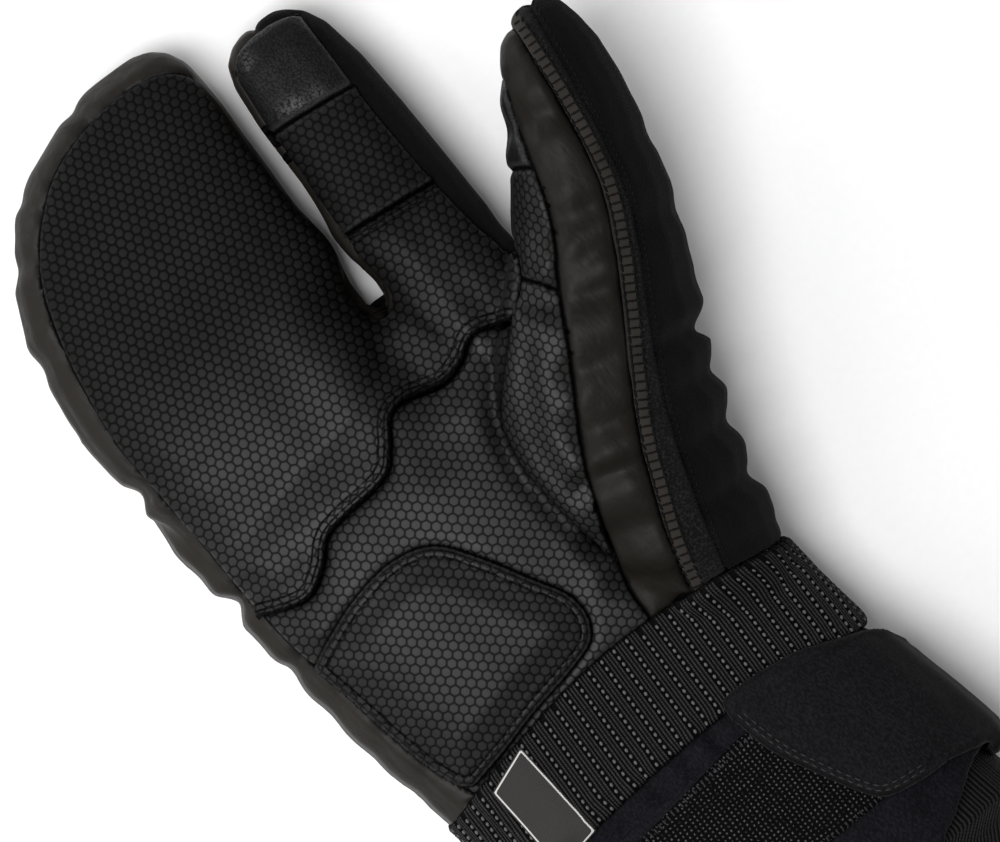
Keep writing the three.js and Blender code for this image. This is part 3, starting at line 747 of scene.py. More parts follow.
def lay(name, outline, cell, height, surface, thickness, replaced):
    """Cuts a grid, lays it on a surface, raises it by its height profile and gives it a wall."""
    grid = cut_grid(outline, cell)
    gap = distance_to(np.array([v.co[:] for v in grid.verts]), closed(outline))
    unwrapped(grid, {v: (v.co.x / UV_UNIT, v.co.y / UV_UNIT) for v in grid.verts})
    store(grid, "from_edge", gap)
    store(grid, "from_sewn_line", np.full(len(gap), NOT_NEAR))
    store(grid, "upright", np.ones(len(gap)))
    for vert in grid.verts:
        vert.co = surface(vert.co.x, vert.co.y)
    face_up(grid)
    shift_along_normals(grid, height(gap))
    piece = walled(new_object(name, grid), thickness)
    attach(piece, "root")
    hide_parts(replaced)
    print(name, len(piece.data.polygons), "faces")
    return piece


# %% The heel pad
HEEL_RIM_FROM, HEEL_RIM_TO, HEEL_RIM_IN = 1, 44, 0.6
HEEL_ROWS = (1.3, 2.8)
heel_line = SEAMS["heel"]
heel_rim = heel_line[(heel_line[:, 1] > HEEL_RIM_FROM) & (heel_line[:, 1] < HEEL_RIM_TO)]
heel_outline = np.vstack((SEAMS["pad_edge"], heel_rim + (HEEL_RIM_IN, 0)))
lower_palm_tree = tree_of(PANELS["lower_palm"].data)


def heel_height(gap):
    """A pad that fills up behind two rows of stitches."""
    return 0.7 + 0.7 * ease(gap / 0.9) + stitched_ridges(gap, HEEL_ROWS) + 1.5 * ease((gap - 2.6) / 9)


heel_pad = lay("heel_pad_cloth", heel_outline, 0.6, heel_height,
               lambda x, y: drop(lower_palm_tree, x, y), 1.2, "heel_pad")

# %% The loop patch of the fastener, and the blank label
PATCH = [(-40, -38), (-15, -35.6), (2, -32.8), (17, -30.6), (44, -31.6), (46, -34), (45.4, -61), (43, -63),
         (18, -63.4), (-10, -64.6), (-37, -66), (-41, -63), (-42, -41)]
LABEL = [(-39.6, -5.4), (-27, -0.2), (-24, -27.6), (-37, -31.4)]
cuff_tree = tree_of(PANELS["cuff"].data)


def resampled(corners, step=1.0):
    """A closed outline with straight sides, with a point every step millimetres."""
    ends = [*corners[1:], corners[0]]
    return np.vstack([smooth_line([a, b], step)[:-1] for a, b in zip(corners, ends)])


def patch_height(gap):
    """A flat patch with a turned edge."""
    return 0.7 + 0.8 * ease(gap / 1.1)


loop_patch = lay("loop_patch_cloth", resampled(PATCH), 0.8, patch_height,
                 lambda x, y: drop(cuff_tree, x, y), 1.0, "loop_patch")

# %% [markdown]
# ## Round the wrist
# The elastic, the closure tab and the ribbed hem run round the wrist, down both sides, so dropping a grid
# from above would stretch it there. The wrist is measured first: rays from its middle find the skin, and
# the length along the skin gives each point a place round the wrist, as a tape measure would. Patterns laid
# out in that length keep their spacing on the sides too. The hem isn't part of that skin, because it lies
# inside the cuff's mouth, so it is found on its own CAD solid.

# %% Measure round the wrist
WRIST_MIDDLE = (-8.0, 24.0)
ANGLES = np.radians(np.arange(-140, 141, 1.5))
RAY_REACH = 0.3
TAPE_END, TAPE_STEP = 115, 0.5
UPPER_SIDE_REACH = 75


def radial(angle):
    """The direction away from the wrist's middle at an angle from straight up."""
    return Vector((math.sin(angle), 0, math.cos(angle)))


class Girth:
    """Places on a surface by the length round the wrist and the distance along it, ring by ring."""

    def __init__(self, tree, low, high):
        self.ys = np.arange(low, high, 1.0)
        self.lengths = np.arange(-TAPE_END, TAPE_END + TAPE_STEP, TAPE_STEP)
        rows = []
        for y in self.ys:
            middle = Vector((WRIST_MIDDLE[0], y, WRIST_MIDDLE[1])) * MM
            hits = []
            for angle in ANGLES:
                hit = tree.ray_cast(middle, radial(angle), RAY_REACH)[0]
                if hit is not None:
                    hits.append((angle, hit.x / MM, hit.z / MM))
            hits = np.array(hits)
            run = np.concatenate(([0], np.cumsum(np.hypot(*np.diff(hits[:, 1:], axis=0).T))))
            run -= np.interp(0, hits[:, 0], run)
            rows.append(np.stack((np.interp(self.lengths, run, hits[:, 1]),
                                  np.interp(self.lengths, run, hits[:, 2])), 1))
        self.rows = np.array(rows)

    def ring(self, y, short_of_end=1):
        """Which ring a pattern y falls on. The rings are a millimetre apart."""
        return np.clip(y + PATTERN_ORIGIN[1] - self.ys[0], 0, len(self.ys) - short_of_end)

    def at(self, length, y):
        """The point at a length round the wrist, at a pattern y, in metres."""
        row = self.ring(y, 1.001)
        col = np.clip((length - self.lengths[0]) / TAPE_STEP, 0, len(self.lengths) - 1.001)
        i, j = int(row), int(col)
        s, t = row - i, col - j
        x, z = ((1 - s) * ((1 - t) * self.rows[i, j] + t * self.rows[i, j + 1])
                + s * ((1 - t) * self.rows[i + 1, j] + t * self.rows[i + 1, j + 1]))
        return Vector((x, y + PATTERN_ORIGIN[1], z)) * MM

    def length_at(self, x, y):
        """The length round the wrist of the pattern point x, y on the upper side."""
        xs, zs = self.rows[int(self.ring(y))].T
        top = (zs > WRIST_MIDDLE[1]) & (np.abs(self.lengths) < UPPER_SIDE_REACH)
        order = np.argsort(xs[top])
        return float(np.interp(x + PATTERN_ORIGIN[0], xs[top][order], self.lengths[top][order]))

    def length_down_to(self, y, height, side):
        """The length round the wrist at which the skin comes down to a height, on one side."""
        zs = self.rows[int(self.ring(y))][:, 1]
        below = (zs < height) & (np.sign(self.lengths) == side)
        return float(self.lengths[below][np.abs(self.lengths[below]).argmin()])


wrist = Girth(skin_tree, -132, -40)
for y in (0, -12, -24):
    left, right = (wrist.length_down_to(y, BACK_SEAM_HEIGHT, side) for side in (-1, 1))
    print("round the wrist at", y, ":", left, "to", right)

# %% The woven elastic
BEAD_PITCH, BEAD_ROW_PITCH = 4.05, 1.85
BAND_RISE, RIB_RISE, CHANNEL_SHARE = 1.0, 0.55, 0.32
BAND_WIDTH, BAND_FOOT, BAND_EDGE = 28, 7.3, 0.7
band_ends = [np.mean([wrist.length_down_to(y, BAND_FOOT, side) for y in (-2, -12, -22)]) for side in (-1, 1)]
BAND_COLUMNS = round((band_ends[1] - band_ends[0]) / BEAD_PITCH)


def band_rows(x):
    """The lower and upper pattern y of the elastic at a pattern x."""
    return (np.interp(x, *SEAMS["band_bottom"].T) - 0.4, np.interp(x, *SEAMS["band_top"].T) + 0.3)


def band_point(across, up):
    """A point of the elastic, from 0 to 1 round the wrist and 0 to 1 along the glove."""
    length = band_ends[0] + across * (band_ends[1] - band_ends[0])
    low, high = band_rows(wrist.at(length, -12).x / MM - PATTERN_ORIGIN[0])
    y = low + up * (high - low)
    return wrist.at(length, y), length, y


def rib_height(columns):
    """Three fine ribs between two open channels, across one repeat of the weave, from 0 to 1."""
    phase = columns % 1
    ribs = np.abs(np.sin(np.pi * 3 * np.clip((phase - CHANNEL_SHARE) / (1 - CHANNEL_SHARE), 0, 1)))
    return ribs ** 0.6


band = bmesh.new()
bmesh.ops.create_grid(band, x_segments=820, y_segments=30, size=1)
shape = np.array([v.co[:] for v in band.verts]) * 0.5 + 0.5
band_uv = {}
for vert, (across, up, _) in zip(band.verts, shape):
    vert.co, length, y = band_point(across, up)
    band_uv[vert] = (length / UV_UNIT, y / UV_UNIT)
unwrapped(band, band_uv)
face_up(band)
ribs = rib_height(shape[:, 0] * BAND_COLUMNS)
from_edge = np.minimum(shape[:, 1], 1 - shape[:, 1]) * BAND_WIDTH
store(band, "rib", ribs)
store(band, "from_edge", from_edge)
shift_along_normals(band, RIB_RISE * ribs + BAND_RISE - BAND_EDGE * bump_shape(from_edge, BAND_EDGE))
wrist_band = walled(new_object("wrist_band_elastic", band), 1.6)
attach(wrist_band, "root")
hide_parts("wrist_band")
print("elastic:", BAND_COLUMNS, "repeats,", len(wrist_band.data.polygons), "faces")

# %% The closure tab
TAB_TOP = [(18.6, -25), (19, -21.8), (22, -20.6), (31, -20.8), (42, -22.6), (54, -26.6)]
TAB_END = [(50, -65.4), (40.4, -64), (36.2, -62), (32.6, -57.4), (27.4, -48.6), (22, -37.6), (18.6, -25)]
TAB_FOOT, TAB_THICKNESS, TAB_ROUNDING = 8.0, 3.0, 1.7


def tab_outline():
    """The tab's outline, laid out round the wrist down to the back's seam."""
    top = [(wrist.length_at(x, y), y) for x, y in smooth_line(TAB_TOP)]
    end = [(wrist.length_at(x, y), y) for x, y in smooth_line(TAB_END)]
    upper_foot = (wrist.length_down_to(-50, TAB_FOOT, 1), -46.0)
    lower_foot = (wrist.length_down_to(-70, TAB_FOOT, 1), -74.0)
    side_top = smooth_line([top[-1], ((top[-1][0] + upper_foot[0]) / 2, -37.5), upper_foot])
    foot = smooth_line([upper_foot, lower_foot])
    side_end = smooth_line([lower_foot, ((lower_foot[0] + end[0][0]) / 2, -70.5), end[0]])
    return np.vstack((top, side_top[1:], foot[1:], side_end[1:], end[1:-1]))


def tab_height(gap):
    """A thick folded flap with a rounded edge and a sewn row inside it."""
    rounded = np.sqrt(np.clip(1 - (1 - np.clip(gap / TAB_ROUNDING, 0, 1)) ** 2, 0, 1))
    sewn_row = 0.12 * bump_shape(gap - 2.0, 0.5) - 0.3 * bump_shape(gap - 2.9, 0.5)
    return TAB_THICKNESS + 1.35 * rounded + sewn_row


closure_tab = lay("closure_tab_cloth", tab_outline(), 0.8, tab_height, wrist.at, 2.6, "closure_tab")

# %% The ribbed hem inside the cuff's mouth
hem_tree = tree_of(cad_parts["hem_band"].data)
HEM_LOW, HEM_HIGH = (v.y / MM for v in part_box("hem_band"))
HEM_MIDDLE, HEM_MARGIN, HEM_START = (-5.0, 25.0), 0.4, 0.2
HEM_REPEATS = (30, 3)
hem = bmesh.new()
bmesh.ops.create_grid(hem, x_segments=260, y_segments=24, size=1)
shape = np.array([v.co[:] for v in hem.verts]) * 0.5 + 0.5
hem_uv = {}
for vert, (across, up, _) in zip(hem.verts, shape):
    way = radial((across - 0.5) * 2 * math.pi)
    y = HEM_LOW + HEM_MARGIN + up * (HEM_HIGH - HEM_LOW - 2 * HEM_MARGIN)
    middle = Vector((HEM_MIDDLE[0], y, HEM_MIDDLE[1])) * MM
    hit = hem_tree.ray_cast(middle + way * HEM_START, -way)[0]
    vert.co = hit if hit is not None else middle
    hem_uv[vert] = (across * HEM_REPEATS[0], up * HEM_REPEATS[1])
unwrapped(hem, hem_uv)
bmesh.ops.remove_doubles(hem, verts=hem.verts, dist=SAME_POINT)
bmesh.ops.recalc_face_normals(hem, faces=hem.faces)
first = hem.faces[0].calc_center_median()
if hem.faces[0].normal.dot(first - Vector((HEM_MIDDLE[0] * MM, first.y, HEM_MIDDLE[1] * MM))) < 0:
    bmesh.ops.reverse_faces(hem, faces=hem.faces)
store(hem, "from_edge", edge_distances(hem))
hem_band = walled(new_object("hem_band_elastic", hem), 2.0)
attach(hem_band, "root")
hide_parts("hem_band")

# %% The label on the elastic
def label_height(gap):
    """A thin flat label whose edge is sewn down."""
    return 0.9 - 0.25 * bump_shape(gap, 0.5)


def above_band(x, y):
    """The point of the elastic's ground above a pattern point."""
    return wrist.at(wrist.length_at(x, y), y) + Vector((0, 0, BAND_RISE * MM))


label = lay("label_cloth", resampled(LABEL), 0.6, label_height, above_band, 0.5, "label")

# %% [markdown]
# ## Stitches
# The rows of stitches are thread: short beads that lie on the cloth and dip in at both ends. One stitch is
# made from a sphere and repeated along each row, at the height of the cloth below it. Bump alone would be
# lighter, but it has no body of its own. The leather's finish, further down, paints the groove of each row
# dark as shade.

# %% Repeat a small shape at many places
def small_shape(segments, rings):
    """A unit sphere with few faces, as points and faces."""
    ball = bmesh.new()
    bmesh.ops.create_uvsphere(ball, u_segments=segments, v_segments=rings, radius=1)
    mesh = bpy.data.meshes.new("small shape")
    ball.to_mesh(mesh)
    ball.free()
    return points_of(mesh), [tuple(p.vertices) for p in mesh.polygons]


BALL_POINTS, BALL_FACES = small_shape(6, 4)


def repeated(name, places):
    """One object with a ball stretched to each place, given as middle and three half axes."""
    points, faces = [], []
    for middle, along, across, up in places:
        start = len(points) * len(BALL_POINTS)
        turn = np.array((along, across, up))
        points.append(BALL_POINTS @ turn + np.array(middle))
        faces.extend(tuple(i + start for i in f) for f in BALL_FACES)
    mesh = bpy.data.meshes.new(name)
    mesh.from_pydata(np.vstack(points).tolist(), [], faces)
    for polygon in mesh.polygons:
        polygon.use_smooth = True
    made = bpy.data.objects.new(name, mesh)
    bpy.context.scene.collection.objects.link(made)
    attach(made, "root")
    return made


def offset_line(line, distance):
    """A line moved sideways, to the right of its direction."""
    way = np.gradient(line, axis=0)
    way /= np.linalg.norm(way, axis=1)[:, None]
    return line + distance * np.stack((way[:, 1], -way[:, 0]), 1)


def length_along(line):
    """How far along a line each of its points is."""
    return np.concatenate(([0], np.cumsum(np.linalg.norm(np.diff(line, axis=0), axis=1))))


def point_at(line, run, length):
    """The point of a line at a length along it."""
    return np.array([np.interp(length, run, line[:, axis]) for axis in (0, 1)])


SHORTEST_HALF, LONGEST_SHARE, STEEPEST = 0.3, 0.65, 0.3


def row_of_stitches(line, tree, pitch=2.6, length=2.0, width=0.5, height=0.3, lift=-0.1):
    """The places of a row of stitches along a pattern line, where the surface isn't too steep for them."""
    run = length_along(line)
    places = []
    for middle in np.arange(pitch / 2, run[-1] - pitch / 2, pitch):
        a, b = (drop(tree, *point_at(line, run, middle + d)) for d in (-length / 2, length / 2))
        along = (b - a) / 2
        up = tree.find_nearest((a + b) / 2)[1]
        if not SHORTEST_HALF * MM < along.length < LONGEST_SHARE * length * MM or up.z < STEEPEST:
            continue
        across = up.cross(along).normalized() * (width / 2 * MM)
        centre = (a + b) / 2 + up * (lift * MM)
        places.append((centre, along, across, up * (height * MM)))
    return places


# %% The rows of stitches on the palm
palm_tree = tree_of(PANELS["upper_palm"].data)
heel_tree = tree_of(heel_pad.data)
double = SEAMS["index_double"]
palm_rows = []
for distance in PALM_ROWS:
    palm_rows += row_of_stitches(offset_line(SEAMS["wavy"][2:-2], -distance), palm_tree)
    palm_rows += row_of_stitches(offset_line(double, distance), palm_tree)
for distance in HEEL_ROWS:
    palm_rows += row_of_stitches(offset_line(SEAMS["pad_edge"], distance), heel_tree)
palm_stitches = repeated("palm_stitches", palm_rows)
print(len(palm_rows), "stitches on the palm")

# %% [markdown]
# ## The ladder stitch, the chain stitch and the elastic's beads
# A flat seam on the thumb joins the taupe strip to the fleece. Its cover stitch looks like a ladder: two
# rails with rungs between them. The elastic has open channels in which the weft shows as rows of beads.
# Both are the same small ball, stretched for a rung and nearly round for a bead.

# %% The thumb's ladder and chain
LOOK_AHEAD, STEEPEST_BALL = 0.4, 0.15


def surface_row(line, tree, pitch, size, turned=0.0, lift=0.1):
    """Balls stretched to size (length, width, height) along a line, turned from its direction."""
    length, width, height = size
    run = length_along(line)
    places = []
    for middle in np.arange(pitch / 2, run[-1], pitch):
        x, y = point_at(line, run, middle)
        ahead = point_at(line, run, middle + LOOK_AHEAD) - (x, y)
        hit, up, _, _ = tree.ray_cast(place(x, y, DROP_FROM), DOWN)
        if hit is None or up.z < STEEPEST_BALL or np.linalg.norm(ahead) < 1e-6:
            continue
        way = Matrix.Rotation(turned, 3, up) @ Vector((*ahead, 0))
        along = (way - up * way.dot(up)).normalized()
        across = up.cross(along)
        places.append((hit + up * (lift * MM), along * (length / 2 * MM), across * (width / 2 * MM),
                       up * (height / 2 * MM)))
    return places


wipe_tree = tree_of(PANELS["thumb_wipe"].data)
back_tree = tree_of(PANELS["thumb_back"].data)
strip_line, wipe_line = SEAMS["strip_right"], SEAMS["wipe_right"]
LADDER_FROM, LADDER_WIDTH, LADDER_PITCH = 0.4, 3.3, 2.2
ladder = []
for distance in (LADDER_FROM, LADDER_WIDTH):
    ladder += surface_row(offset_line(strip_line, distance), wipe_tree, LADDER_PITCH, (2.5, 0.75, 0.8))
rung = (LADDER_WIDTH - LADDER_FROM, 0.6, 0.8)
rung_line = offset_line(strip_line, LADDER_WIDTH / 2 + LADDER_FROM / 2)
ladder += surface_row(rung_line, wipe_tree, LADDER_PITCH, rung, math.pi / 2)
thumb_ladder = repeated("thumb_ladder_stitch", ladder)
chain = surface_row(offset_line(wipe_line, -1.0), wipe_tree, 1.7, (1.5, 0.8, 0.6), 0.4)
chain += surface_row(offset_line(wipe_line, 0.9), back_tree, 1.7, (1.6, 0.6, 0.6), -0.3)
thumb_chain = repeated("thumb_chain_stitch", chain)
print(len(ladder), "ladder stitches and", len(chain), "chain stitches")

# %% The beads in the elastic's channels
BEAD_LONG, BEAD_WIDE, BEAD_LIFT = 0.66 * MM, 0.46 * MM, 0.22
BEADS_FROM, BEADS_TO = 1.3, 0.9
ASIDE_SHARE, AHEAD_SHARE = 0.004, 0.05
beads = []
for column in range(BAND_COLUMNS):
    across = (column + CHANNEL_SHARE / 2) / BAND_COLUMNS
    y_low, y_high = band_point(across, 0.0)[2], band_point(across, 1.0)[2]
    for y in np.arange(y_low + BEADS_FROM, y_high - BEADS_TO, BEAD_ROW_PITCH):
        up_share = (y - y_low) / (y_high - y_low)
        here, aside = band_point(across, up_share)[0], band_point(across + ASIDE_SHARE, up_share)[0]
        ahead = band_point(across, min(up_share + AHEAD_SHARE, 1))[0]
        along, sideways = (ahead - here).normalized(), (aside - here).normalized()
        up = sideways.cross(along).normalized()
        if up.dot(here - Vector((WRIST_MIDDLE[0], here.y / MM, WRIST_MIDDLE[1])) * MM) < 0:
            up = -up
        middle = here + up * (BAND_RISE + BEAD_LIFT) * MM
        beads.append((middle, along * BEAD_LONG, sideways * BEAD_WIDE, up * BEAD_WIDE))
band_beads = repeated("wrist_band_beads", beads)
print(len(beads), "beads")

# %% The rows of stitches round the tab, the patch and the hem
TAB_ROWS, PATCH_ROW = (2.2, 3.4), 1.0
tab_tree = tree_of(closure_tab.data)
tab_rows = []
tab_end_line = smooth_line(TAB_END)
for distance in TAB_ROWS:
    tab_rows += row_of_stitches(offset_line(tab_end_line, distance), tab_tree, 2.4, 2.1, 0.55, 0.35)
tab_stitches = repeated("closure_tab_stitches", tab_rows)
patch_tree = tree_of(loop_patch.data)
patch_line = offset_line(resampled([*PATCH, PATCH[0]]), PATCH_ROW)
patch_stitches = repeated("loop_patch_stitches", surface_row(patch_line, patch_tree, 1.5, (0.6, 2.0, 0.6)))
print(len(tab_rows), "stitches on the tab")

# %% [markdown]
# ## Finishes
# Each cloth is a small recipe of nodes. Sums are written as Python sums: the class below wraps a socket,
# and each operator adds its Math node. A pattern that is pressed into the leather reads the Object
# coordinates, because they are in metres and don't slide. The elastic, the loops and the label read their
# own UV map, which follows the weave. An image of each cloth would look closer to it, but only from one
# distance, and it would have to be photographed.

# %% Sums on sockets
class Socket:
    """An output of a node, with Python's operators for its sums."""

    def __init__(self, finish, socket):
        self.finish, self.socket = finish, socket

    def sum_with(self, operation, *values):
        return self.finish.node("ShaderNodeMath", {"operation": operation}, dict(enumerate(values)))

    def __add__(self, other):
        return self.sum_with("ADD", self, other)

    def __sub__(self, other):
        return self.sum_with("SUBTRACT", self, other)

    def __rsub__(self, other):
        return self.sum_with("SUBTRACT", other, self)

    def __mul__(self, other):
        return self.sum_with("MULTIPLY", self, other)

    def __abs__(self):
        return self.sum_with("ABSOLUTE", self)

    __radd__, __rmul__ = __add__, __mul__

    def lowest(self, other):
        return self.sum_with("MINIMUM", self, other)

    def highest(self, other):
        return self.sum_with("MAXIMUM", self, other)

    def sine(self):
        return self.sum_with("SINE", self)

    def rising(self, low, high):
        """0 below low, 1 above high, with a soft step between them."""
        return self.finish.node("ShaderNodeMapRange", {"interpolation_type": "SMOOTHSTEP"},
                                {"Value": self, "From Min": low, "From Max": high})

    def falling(self, low, high):
        return 1 - self.rising(low, high)


class Finish:
    """A material that is put together from nodes."""

    def __init__(self, name, **constants):
        self.material = bpy.data.materials.new(name)
        self.material.use_nodes = True
        self.tree = self.material.node_tree
        self.shader = self.tree.nodes["Principled BSDF"]
        for key, value in constants.items():
            self.shader.inputs[key.replace("_", " ")].default_value = value
        self.coordinates = self.node("ShaderNodeTexCoord", output="Object")

    def node(self, kind, settings=None, inputs=None, output=0):
        """Adds a node: its settings first, then the values or links of its sockets."""
        made = self.tree.nodes.new(kind)
        for key, value in (settings or {}).items():
            setattr(made, key, value)
        for key, value in (inputs or {}).items():
            if isinstance(value, Socket):
                self.tree.links.new(value.socket, made.inputs[key])
            else:
                made.inputs[key].default_value = value
        return Socket(self, made.outputs[output])

    def attribute(self, name):
        return self.node("ShaderNodeAttribute", {"attribute_name": name}, output="Fac")

    def uv(self):
        return self.node("ShaderNodeUVMap", {"uv_map": "cloth"})

    def scaled(self, vector, scale, turn=0.0):
        return self.node("ShaderNodeMapping", None, {"Vector": vector, "Scale": (scale,) * 3,
                                                     "Rotation": (0, 0, turn)})

    def part(self, vector, axis):
        return self.node("ShaderNodeSeparateXYZ", None, {"Vector": vector}, axis)

    def noise(self, per_metre, detail=2.0, stretch=(1, 1, 1)):
        grain = {"Vector": self.coordinates, "Scale": stretch}
        grain = {"Vector": self.node("ShaderNodeMapping", None, grain), "Scale": per_metre, "Detail": detail}
        return self.node("ShaderNodeTexNoise", None, grain)

    def blend(self, share, low, high):
        """A colour between two colours."""
        return self.node("ShaderNodeMix", {"data_type": "RGBA"}, {0: share, 6: low, 7: high}, 2)

    def paint(self, **sockets):
        for key, value in sockets.items():
            target = self.shader.inputs[key.replace("_", " ")]
            self.tree.links.new(value.socket, target)

    def raise_by(self, height_mm):
        """Makes heights in millimetres show as relief."""
        bump = self.node("ShaderNodeBump", None, {"Height": height_mm, "Distance": MM, "Strength": 1.0})
        self.paint(Normal=bump)


def grey(value, warm=0.0, cool=0.0):
    """A near grey colour, with a little warmth or coolness."""
    return (value * (1 + warm), value, value * (1 + cool - warm), 1)


def wave(pitch):
    """What a place on the UV map is multiplied by, so that its sine repeats every pitch millimetres."""
    return 2 * math.pi * UV_UNIT / pitch


# %% The honeycomb leather
HONEYCOMB_PITCH, HONEYCOMB_TURN = 2.58, math.radians(19)
STRAIGHT_SHARE = 0.62
UNPOLISHED_FROM = (0.030, 0.082)
ROOT3 = math.sqrt(3)


def honeycomb(finish, pitch, turn, lean):
    """How far a point is from the middle of its cell, from 0 to a half at the cell's edge."""
    x, y, z = (finish.part(finish.coordinates, axis) for axis in range(3))
    flat = finish.node("ShaderNodeCombineXYZ", None, {"X": x + z * lean, "Y": y})
    cells = finish.scaled(flat, 1 / (pitch * MM), -turn)
    best = None
    for shift in ((0, 0, 0), (0.5, ROOT3 / 2, 0)):
        moved = finish.node("ShaderNodeVectorMath", {"operation": "ADD"}, {0: cells, 1: shift})
        wrapped = finish.node("ShaderNodeVectorMath", {"operation": "WRAP"},
                              {0: moved, 1: (0.5, ROOT3 / 2, 1), 2: (-0.5, -ROOT3 / 2, -1)})
        size = finish.node("ShaderNodeVectorMath", {"operation": "ABSOLUTE"}, {0: wrapped})
        x, y = finish.part(size, 0), finish.part(size, 1)
        straight = x.highest(x * 0.5 + y * (ROOT3 / 2))
        round_ = finish.node("ShaderNodeVectorMath", {"operation": "LENGTH"}, {0: wrapped}, "Value")
        here = straight * STRAIGHT_SHARE + round_ * (1 - STRAIGHT_SHARE)
        best = here if best is None else best.lowest(here)
    return best


def pulled_in(finish, rows, rows_from):
    """How far rows of stitches pull the leather in, from 0 to 1, a little uneven along each row; the relief
    sinks by it, and the colour darkens by it as painted shade.
    """
    gap = finish.attribute(rows_from)
    groove = None
    for row in rows:
        here = abs(gap - row).falling(0.10, 0.42)
        groove = here if groove is None else groove.highest(here)
    return groove * (0.5 + finish.noise(700, 2).rising(0.35, 0.55) * 0.5)


def leather(name, turn=HONEYCOMB_TURN, lean=0.0, shade=1.0, rows=(), rows_from="from_sewn_line"):
    """Black synthetic leather, pressed into rounded hexagons and polished where the palm grips.

    A lean keeps the hexagons round on a steep side, and the undersides are plain. Rows of stitches pull
    grooves at their distances from an edge or a sewn line, and the grooves and seams are painted dark as
    shade.
    """
    finish = Finish(name, Specular_IOR_Level=0.04, Coat_Roughness=0.50)
    cell = honeycomb(finish, HONEYCOMB_PITCH, turn, lean)
    underside = finish.attribute("upright").falling(0.0, 0.35)
    plateau = cell.falling(0.34, 0.47).highest(underside)
    dome = (1 - cell * cell * 4).highest(underside)
    grain = finish.noise(5200, 3)
    broad = finish.noise(38, 3)
    edge = finish.attribute("from_edge")
    sewn_line = finish.attribute("from_sewn_line")
    groove = pulled_in(finish, rows, rows_from) if rows else 0
    # painted shade: the colour and the gloss darken towards each seam and in each groove of stitches
    seam_shade = edge.rising(0.1, 1.1) * sewn_line.rising(0.3, 1.3) * (1 - groove)
    # a painted highlight along the rolled edge beside a seam, with some wear
    wear_and_highlight = edge.falling(0.8, 2.2) * edge.rising(0.5, 1.0) * sewn_line.rising(2, 4)
    # a shade below 1 paints this copy of the leather darker as shade, and above 1 lighter as light
    light = finish.blend(broad * 0.6 + grain * 0.4, grey(0.0042 * shade, 0.02), grey(0.0088 * shade, 0.02))
    # the gaps between the cells are painted near black, as shade in the hollows
    face = finish.blend(plateau, grey(0.0016), light)
    sewn = finish.blend(seam_shade, grey(0.0007), face)
    polish = 1 - finish.part(finish.coordinates, 1).rising(*UNPOLISHED_FROM) * 0.80
    gloss = (plateau * 0.8 + 0.2) * seam_shade * (0.24 + broad * 0.40) * polish * shade
    finish.paint(Base_Color=finish.blend(wear_and_highlight * 0.3, sewn, grey(0.03)),
                 Roughness=0.66 + (grain - 0.5) * 0.12, Coat_Weight=gloss)
    relief = plateau * 0.15 + dome * 0.26 + grain * 0.045 + broad * 0.25
    finish.raise_by(relief - groove * 0.4)
    return finish.material


# the copies below differ in the turn of their hexagons, and their shade paints some darker as shade and the
# thumb's lighter as light
palm_leather = leather("honeycomb leather")
mitt_leather = leather("honeycomb leather of the mitt", math.radians(5), rows=PALM_ROWS)
thumb_leather = leather("honeycomb leather of the thumb", math.radians(10), lean=0.7, shade=1.05)
index_leather = leather("honeycomb leather of the index finger", math.radians(6), shade=0.85)
pad_leather = leather("honeycomb leather of the heel pad", shade=0.85, rows=HEEL_ROWS,
                      rows_from="from_edge")


# %% The pebbled leather of the fingertips
def pebbled():
    """Shinier black leather with a fine irregular pebble."""
    finish = Finish("pebbled leather", Specular_IOR_Level=0.08, Coat_Roughness=0.27)
    pebble = finish.node("ShaderNodeTexVoronoi", {"feature": "F1"},
                         {"Vector": finish.coordinates, "Scale": 1350.0, "Randomness": 0.9}, "Distance")
    fine = finish.noise(3800, 3)
    broad = finish.noise(60, 3)
    edge = finish.attribute("from_edge")
    tops = broad * 0.7 + pebble.falling(0.2, 0.7) * 0.3
    base = finish.blend(tops, grey(0.0020, 0, 0.15), grey(0.0060, 0, 0.1))
    # painted shade: darker towards the seam at the pad's edge
    sewn = finish.blend(edge.rising(0.1, 1.0), grey(0.002), base)
    # a painted highlight along the rolled edge, with some wear
    wear_and_highlight = edge.falling(0.9, 2.4) * edge.rising(0.4, 0.9)
    finish.paint(Base_Color=finish.blend(wear_and_highlight * 0.4, sewn, grey(0.035)),
                 Roughness=0.50 + (fine - 0.5) * 0.2 + pebble * 0.1,
                 Coat_Weight=pebble.falling(0.2, 0.9) * edge.rising(0.3, 1.2) * 0.26)
    finish.raise_by(pebble * -0.22 + fine * 0.03 + broad * 0.6)
    return finish.material


# %% The taupe laminate
TAUPE_DARK, TAUPE_PALE = (0.0060, 0.0049, 0.0038), (0.0180, 0.0150, 0.0122)
# the colour of the painted shade in the laminate's seams
TAUPE_SEAM_SHADE = (0.0025, 0.0022, 0.002, 1)


def shaded(colour, shade):
    """A colour made darker by a share below 1 and lighter by one above it: painted shade and light."""
    return (*(part * shade for part in colour), 1)


